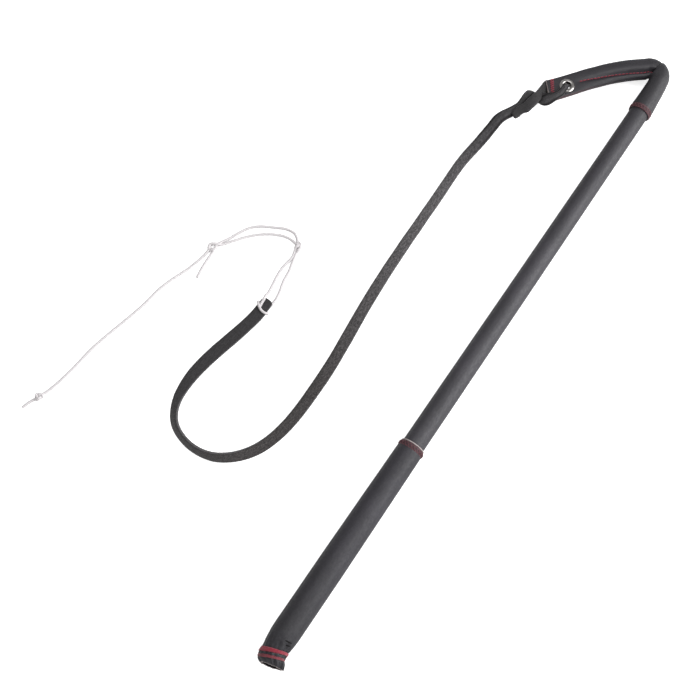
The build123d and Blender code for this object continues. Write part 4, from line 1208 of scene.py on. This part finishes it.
def lash_tip(strap):
    first = strap.index(PARTINGS[-1])
    rings = strap.rings[first:].copy()
    end = rings[-1].mean(axis=0)
    along = unit(end - rings[-6].mean(axis=0))
    side = np.array((-along[1], along[0], 0.0))
    # round the corners of the end; each ring's middle shifts as its points are moved
    corner = 3.2
    for ring in rings:
        left = (end - ring.mean(axis=0)) @ along
        if left < corner:
            f = (corner - left) / corner
            for j in range(len(ring)):
                off = (ring[j] - ring.mean(axis=0)) @ side
                ring[j] -= side * off * 0.16 * f ** 2
                ring[j] -= along * 1.1 * f * (abs(off) / 6.0) ** 3
    body = Body()
    body.rings(rings, strap.lay[first:], end_slot=1)
    # slit, nearer one edge
    slit_start, slit_end, slit_radius = np.array((190.6, 187.0)), np.array((199.4, 187.5)), 1.15
    slit_along = unit(slit_end - slit_start)
    slit_side = np.array((-slit_along[1], slit_along[0]))
    outline = []
    for middle, degrees in ((slit_end, -90), (slit_start, 90)):
        for i in range(25):
            angle = math.radians(degrees + 180 * i / 24)
            outline.append(middle + slit_along * slit_radius * math.cos(angle)
                           + slit_side * slit_radius * math.sin(angle))
    mesh = cut_through(body.mesh("tip_raw", [STRAP, STRAP_EDGE]), outline,
                       heights=(-14.0, -9.0, -4.0), name="slit")
    settle("lash_tip_slit", mesh, "lash_7", ["lash_strap_7"])


# ------------------------------------------------------------------ cracker
CORD_R = 1.34
CORD_Z = -11.3
CORD_PITCH = 5.4
CORD = dict(sides=18, step=0.36, ply=3, pitch=CORD_PITCH, depth=0.13)
KNOT_1, KNOT_2, KNOT_3 = (259.8, 193.0), (216.1, 257.6), (12.9, 299.8)
SWING = ("lash_7", "cracker_1", (198.5, 184.3, CORD_Z), (213.5, 185.2, CORD_Z))
TAIL_SWING = ("cracker_3", "cracker_4", (124.5, 278.4, CORD_Z), (100.8, 283.8, CORD_Z))

# cord paths: x, y and, off the cord's resting height, z
HITCH = (   # the turn round the strap, in front of the slit
    (194.8, 190.7, -9.8), (194.4, 190.9, -8.0), (193.0, 189.6, -6.7), (190.2, 186.2, -6.2),
    (188.5, 182.2, -6.15), (188.4, 179.2, -6.3), (189.0, 177.6, -7.0), (189.6, 177.1, -8.8),
    (190.2, 177.6, -10.8), (191.0, 179.4, -11.6), (192.6, 184.0, -11.7), (194.2, 188.6, -11.5),
    (195.0, 190.2, -10.6))
STRAND_LEFT = (
    (190.6, 186.6, -8.4), (193.2, 186.9, -7.0), (197.0, 187.3, -6.6), (200.8, 187.9, -6.55),
    (203.6, 188.3, -7.4), (206.2, 188.6, -9.8), (209.2, 189.1, -11.2), (214.0, 189.9),
    (224.8, 191.8), (235.5, 192.6), (243.0, 191.7), (248.5, 191.1), (254.6, 192.6),
    (258.3, 193.8, -10.5))
STRAND_RIGHT = (
    (192.4, 181.0, -11.45), (197.0, 180.2, -11.55), (202.0, 179.6, -11.4), (206.8, 179.7),
    (212.2, 180.6), (225.1, 184.2), (235.9, 185.6), (242.6, 187.6), (248.6, 189.0),
    (255.2, 190.6), (257.6, 191.4, -10.8))
KNOT_1_OVER = (
    (255.4, 190.2, CORD_Z + 0.5), (258.0, 190.0, CORD_Z + 1.2), (261.4, 190.7, CORD_Z + 1.6),
    (263.8, 192.8, CORD_Z + 1.1), (264.4, 195.6, CORD_Z + 0.5))
EYE_OUTER = (
    (259.4, 192.6, -9.9), (263.6, 195.4, -10.6), (267.4, 198.9), (269.9, 204.0), (269.0, 212.0),
    (263.9, 222.5), (258.2, 232.9), (251.8, 240.1), (241.6, 246.0), (231.9, 250.2),
    (224.0, 254.2, -10.8), (219.2, 256.0, -9.6))
EYE_INNER = (
    (261.9, 197.0, -10.9), (262.4, 199.4), (262.7, 205.4), (259.8, 215.0), (253.4, 225.8),
    (243.7, 236.3), (233.6, 244.3), (225.2, 250.4), (220.6, 254.0, -10.9))
KNOT_2_OVER = (
    (221.6, 253.6, CORD_Z + 2.0), (219.6, 256.4, CORD_Z + 3.0), (216.4, 260.6, CORD_Z + 2.7),
    (213.0, 260.0, CORD_Z + 1.6), (211.8, 257.2, CORD_Z + 0.5))
SHORT_TAIL = ((213.2, 254.9, -10.6), (209.6, 254.8), (203.0, 254.5), (195.5, 253.8),
              (189.0, 252.9), (184.1, 251.9))
LONG_TAIL = (
    (212.9, 258.9, -10.2), (208.2, 259.3), (201.7, 260.0), (186.3, 263.6), (168.5, 269.9),
    (154.7, 273.6), (134.1, 276.3), (112.6, 280.9), (94.0, 285.3), (75.9, 288.9),
    (52.9, 291.3), (29.9, 294.8), (19.5, 297.6), (14.6, 299.4, -10.6))
CORD_END = ((12.0, 300.2, -10.6), (8.6, 302.0), (4.0, 304.0), (0.6, 305.0), (-2.1, 305.6))


def cord(name, paths, moves, replaces, radius=CORD_R):
    body = Body()
    for path in paths:
        full = [(p[0], p[1], p[2] if len(p) > 2 else CORD_Z) for p in path]
        body.tube(full, radius, **CORD)
    body.make(name, [WHITE], moves, replaces, "white_cord")


def knot_1_coil():
    """Winding coil round the first knot's axis."""
    along = unit((0.86, 0.51, 0.0))
    side = np.array((-along[1], along[0], 0.0))
    length, radius, flatness, turns, phase = 6.8, 1.75, 0.8, 1.6, 2.4
    middle = np.array((*KNOT_1, CORD_Z + 0.9))
    path = []
    for f in np.arange(23) / 22:
        angle = TAU * turns * f + phase
        path.append(middle + along * (f - 0.5) * length + side * radius * math.cos(angle)
                    + UP * radius * flatness * math.sin(angle))
    return path


def knot_2_coil():
    """A rising turn and a bit round the second knot."""
    path = []
    for i in range(29):
        angle = math.radians(-70 + 400 * i / 28)
        radius = 3.15 - 0.25 * i / 28
        path.append((KNOT_2[0] + radius * math.cos(angle),
                     KNOT_2[1] + radius * math.sin(angle) * 0.95,
                     CORD_Z + 0.1 + 2.0 * i / 28 + 0.3 * math.sin(2 * angle)))
    return path


def overhand_path():
    """An overhand knot, drawn as the closed clover it pulls into."""
    size, stretch_x, stretch_y, z = 1.02, 1.12, 0.92, CORD_Z + 1.35
    cos, sin = math.cos(math.radians(165)), math.sin(math.radians(165))
    path = []
    for i in range(61):
        t = TAU * i / 60
        x = (math.sin(t) + 2 * math.sin(2 * t)) * size * stretch_x
        y = (math.cos(t) - 2 * math.cos(2 * t)) * size * stretch_y
        path.append((KNOT_3[0] + x * cos - y * sin, KNOT_3[1] + x * sin + y * cos,
                     z - math.sin(3 * t) * size * 0.85))
    return path


def overhand_knot():
    centres = curve(overhand_path(), 0.36)[:-1]
    tangent = unit_rows(np.roll(centres, -1, axis=0) - np.roll(centres, 1, axis=0))
    normal = carried_normals(tangent)
    # spread the left-over turn so that the last ring meets the first
    last = unit(normal[-1] - (normal[-1] @ tangent[0]) * tangent[0])
    left_over = math.atan2(last @ np.cross(tangent[0], normal[0]), last @ normal[0])
    run = arc(centres)
    total = run[-1] + np.linalg.norm(centres[0] - centres[-1])
    turns = max(1, round(total / CORD_PITCH))
    body = Body()
    body.loop(*laid_surface(centres, tangent, normal, TAU * turns * run / total, CORD_R,
                            sides=21, ply=3, depth=0.22,
                            unwind=(left_over * run / total)[:, None]))
    body.make("cracker_knot_3_cord", [WHITE], "cracker_4", ["cracker_knot_3"], "white_cord")


def cracker():
    cord("cracker_hitch_cord", [HITCH], "lash_7", ["cracker_hitch"], radius=1.18)
    cord("cracker_strand_left_cord", [STRAND_LEFT], SWING, ["cracker_strand_left"])
    cord("cracker_strand_right_cord", [STRAND_RIGHT], SWING, ["cracker_strand_right"])
    cord("cracker_knot_1_cord", [knot_1_coil(), KNOT_1_OVER], "cracker_1", ["cracker_knot_1"],
         radius=CORD_R * 0.95)
    cord("cracker_eye_outer_cord", [EYE_OUTER], "cracker_2", ["cracker_eye_outer"])
    cord("cracker_eye_inner_cord", [EYE_INNER], "cracker_2", ["cracker_eye_inner"])
    cord("cracker_knot_2_cord", [knot_2_coil(), KNOT_2_OVER], "cracker_2", ["cracker_knot_2"])
    cord("cracker_short_tail_cord", [SHORT_TAIL], "cracker_2", ["cracker_short_tail"])
    cord("cracker_long_tail_cord", [LONG_TAIL], TAIL_SWING, ["cracker_tail_1", "cracker_tail_2"])
    overhand_knot()
    cord("cracker_end_cord", [CORD_END], "cracker_4", ["cracker_end"])


# ------------------------------------------------------------------ stage, in metres
STAGE_X, STAGE_Y = 0.27, 0.12
WHITE_LIGHT = (1.0, 1.0, 1.0)


def floor():
    half = 4.0
    mesh = bpy.data.meshes.new("floor")
    mesh.from_pydata([(-half, -half, 0), (half, -half, 0), (half, half, 0), (-half, half, 0)],
                     [], [(0, 1, 2, 3)])
    plane = link_object("floor", mesh)
    plane.location = (STAGE_X, 0.14, FLOOR_Z * MM)
    material = bpy.data.materials.new("floor_pale")
    nodes = Nodes(material)
    diffuse = nodes.add("BsdfDiffuse", {"Color": (0.86, 0.86, 0.86)})
    # the floor glows to the camera alone
    glow = nodes.add("Emission", {"Color": WHITE_LIGHT,
                                  "Strength": nodes.times(nodes.is_camera_ray(), 0.72)})
    both = nodes.add("AddShader", {0: diffuse.outputs[0], 1: glow.outputs[0]})
    nodes.add("OutputMaterial", {"Surface": both.outputs[0]})
    mesh.materials.append(material)


def world():
    studio = bpy.data.worlds.new("studio")
    bpy.context.scene.world = studio
    nodes = Nodes(studio)
    # brighter as a backdrop than as a light
    strength = nodes.ramp(nodes.is_camera_ray(), (0.0, 1.0), to=(0.46, 0.97))
    background = nodes.add("Background", {"Color": WHITE_LIGHT, "Strength": strength})
    nodes.add("OutputWorld", {"Surface": background.outputs[0]})


def area_light(name, offset, target, size, size_y, power):
    light = bpy.data.lights.new(name, "AREA")
    light.energy = power
    light.size = size
    light.shape = "RECTANGLE"
    light.size_y = size_y
    lamp = bpy.data.objects.new(name, light)
    place = Vector((STAGE_X + offset[0], STAGE_Y + offset[1], offset[2]))
    lamp.location = place
    lamp.rotation_mode = "QUATERNION"
    lamp.rotation_quaternion = (Vector(target) - place).to_track_quat("-Z", "Y")
    bpy.context.scene.collection.objects.link(lamp)


def lights():
    centre = (STAGE_X, STAGE_Y, 0.0)
    area_light("key", (0.60, -1.25, 0.95), centre, size=1.5, size_y=1.4, power=34.0)
    area_light("side", (0.55, -1.7, 0.30), (0.42, 0.12, 0.0), size=1.4, size_y=0.5, power=7.0)
    area_light("top", (0.1, 0.2, 2.0), centre, size=1.2, size_y=1.2, power=14.0)


def camera():
    data = bpy.data.cameras.new("camera")
    viewer = link_object("camera", data)
    forward = Vector((0.27530, 0.18585, -0.94322)).normalized()
    right = forward.cross(Vector((0.78174, 0.52773, 0.33216)).normalized()).normalized()
    up = right.cross(forward).normalized()
    viewer.rotation_mode = "QUATERNION"
    viewer.rotation_quaternion = Matrix((right, up, -forward)).transposed().to_quaternion()
    viewer.location = (-0.1052, -0.1119, 1.0462)
    data.sensor_width = 36.0
    data.lens = 64.2857143
    data.clip_start = 0.01
    data.clip_end = 50.0
    scene = bpy.context.scene
    scene.camera = viewer
    scene.view_settings.view_transform = "Standard"
    scene.view_settings.look = "None"


# ------------------------------------------------------------------ everything, in order
def stock():
    sleeve = grip_sleeve()
    seam_stitches("grip_seam_stitches", -31.0, 148.0,
                  lambda x: np.interp(x, SLEEVE[:, 0], SLEEVE[:, 3]), ["grip_seam_thread"])
    seam_stitches("shaft_seam_stitches", 168.0, 546.0, shaft_radius, ["shaft_seam_thread"])
    shaft_cover()
    hem_stitches("grip_hem_stitches", ["grip_hem_thread"], start=152.1, end=156.2,
                 start_radius=11.50, end_radius=11.40, count=24, thread_radius=0.25, seed=3,
                 ring_x=152.3, ring_radius=11.60, ring_sway=0.16)
    grip_hem_edge()
    binding("butt_binding_upper_thread", RED, ["butt_binding_upper"], station=-51.3, spread=3.3,
            slope=0.364, turns=9.0, layers=2, radius=0.45, centre_y=-0.6, half_width=10.0,
            half_height=9.8, seed=4, fan=0.55)
    binding("butt_binding_lower_thread", WORN_RED, ["butt_binding_lower"], station=-56.6,
            spread=2.0, slope=0.40, turns=2.35, layers=1, radius=0.30, centre_y=-1.4,
            half_width=10.35, half_height=9.05, seed=9, fan=0.3)
    tack_stitches(sleeve)


def keeper_and_eyelet():
    part, groove_line = keeper()
    tree = surface_tree(part)
    hem_stitches("keeper_hem_stitches", ["keeper_ring_thread"], start=551.6, end=555.8,
                 start_radius=10.40, end_radius=10.38, count=22, thread_radius=0.22, seed=8,
                 ring_x=551.25, ring_radius=10.5, ring_sway=0.14)
    keeper_seam(tree, groove_line)
    keeper_end_row(tree)
    eyelet()


dress_cad_pieces()
stock()
keeper_and_eyelet()
strap = Strap()
lash_lengths(strap)
lash_tip(strap)
cracker()
floor()
world()
lights()
camera()
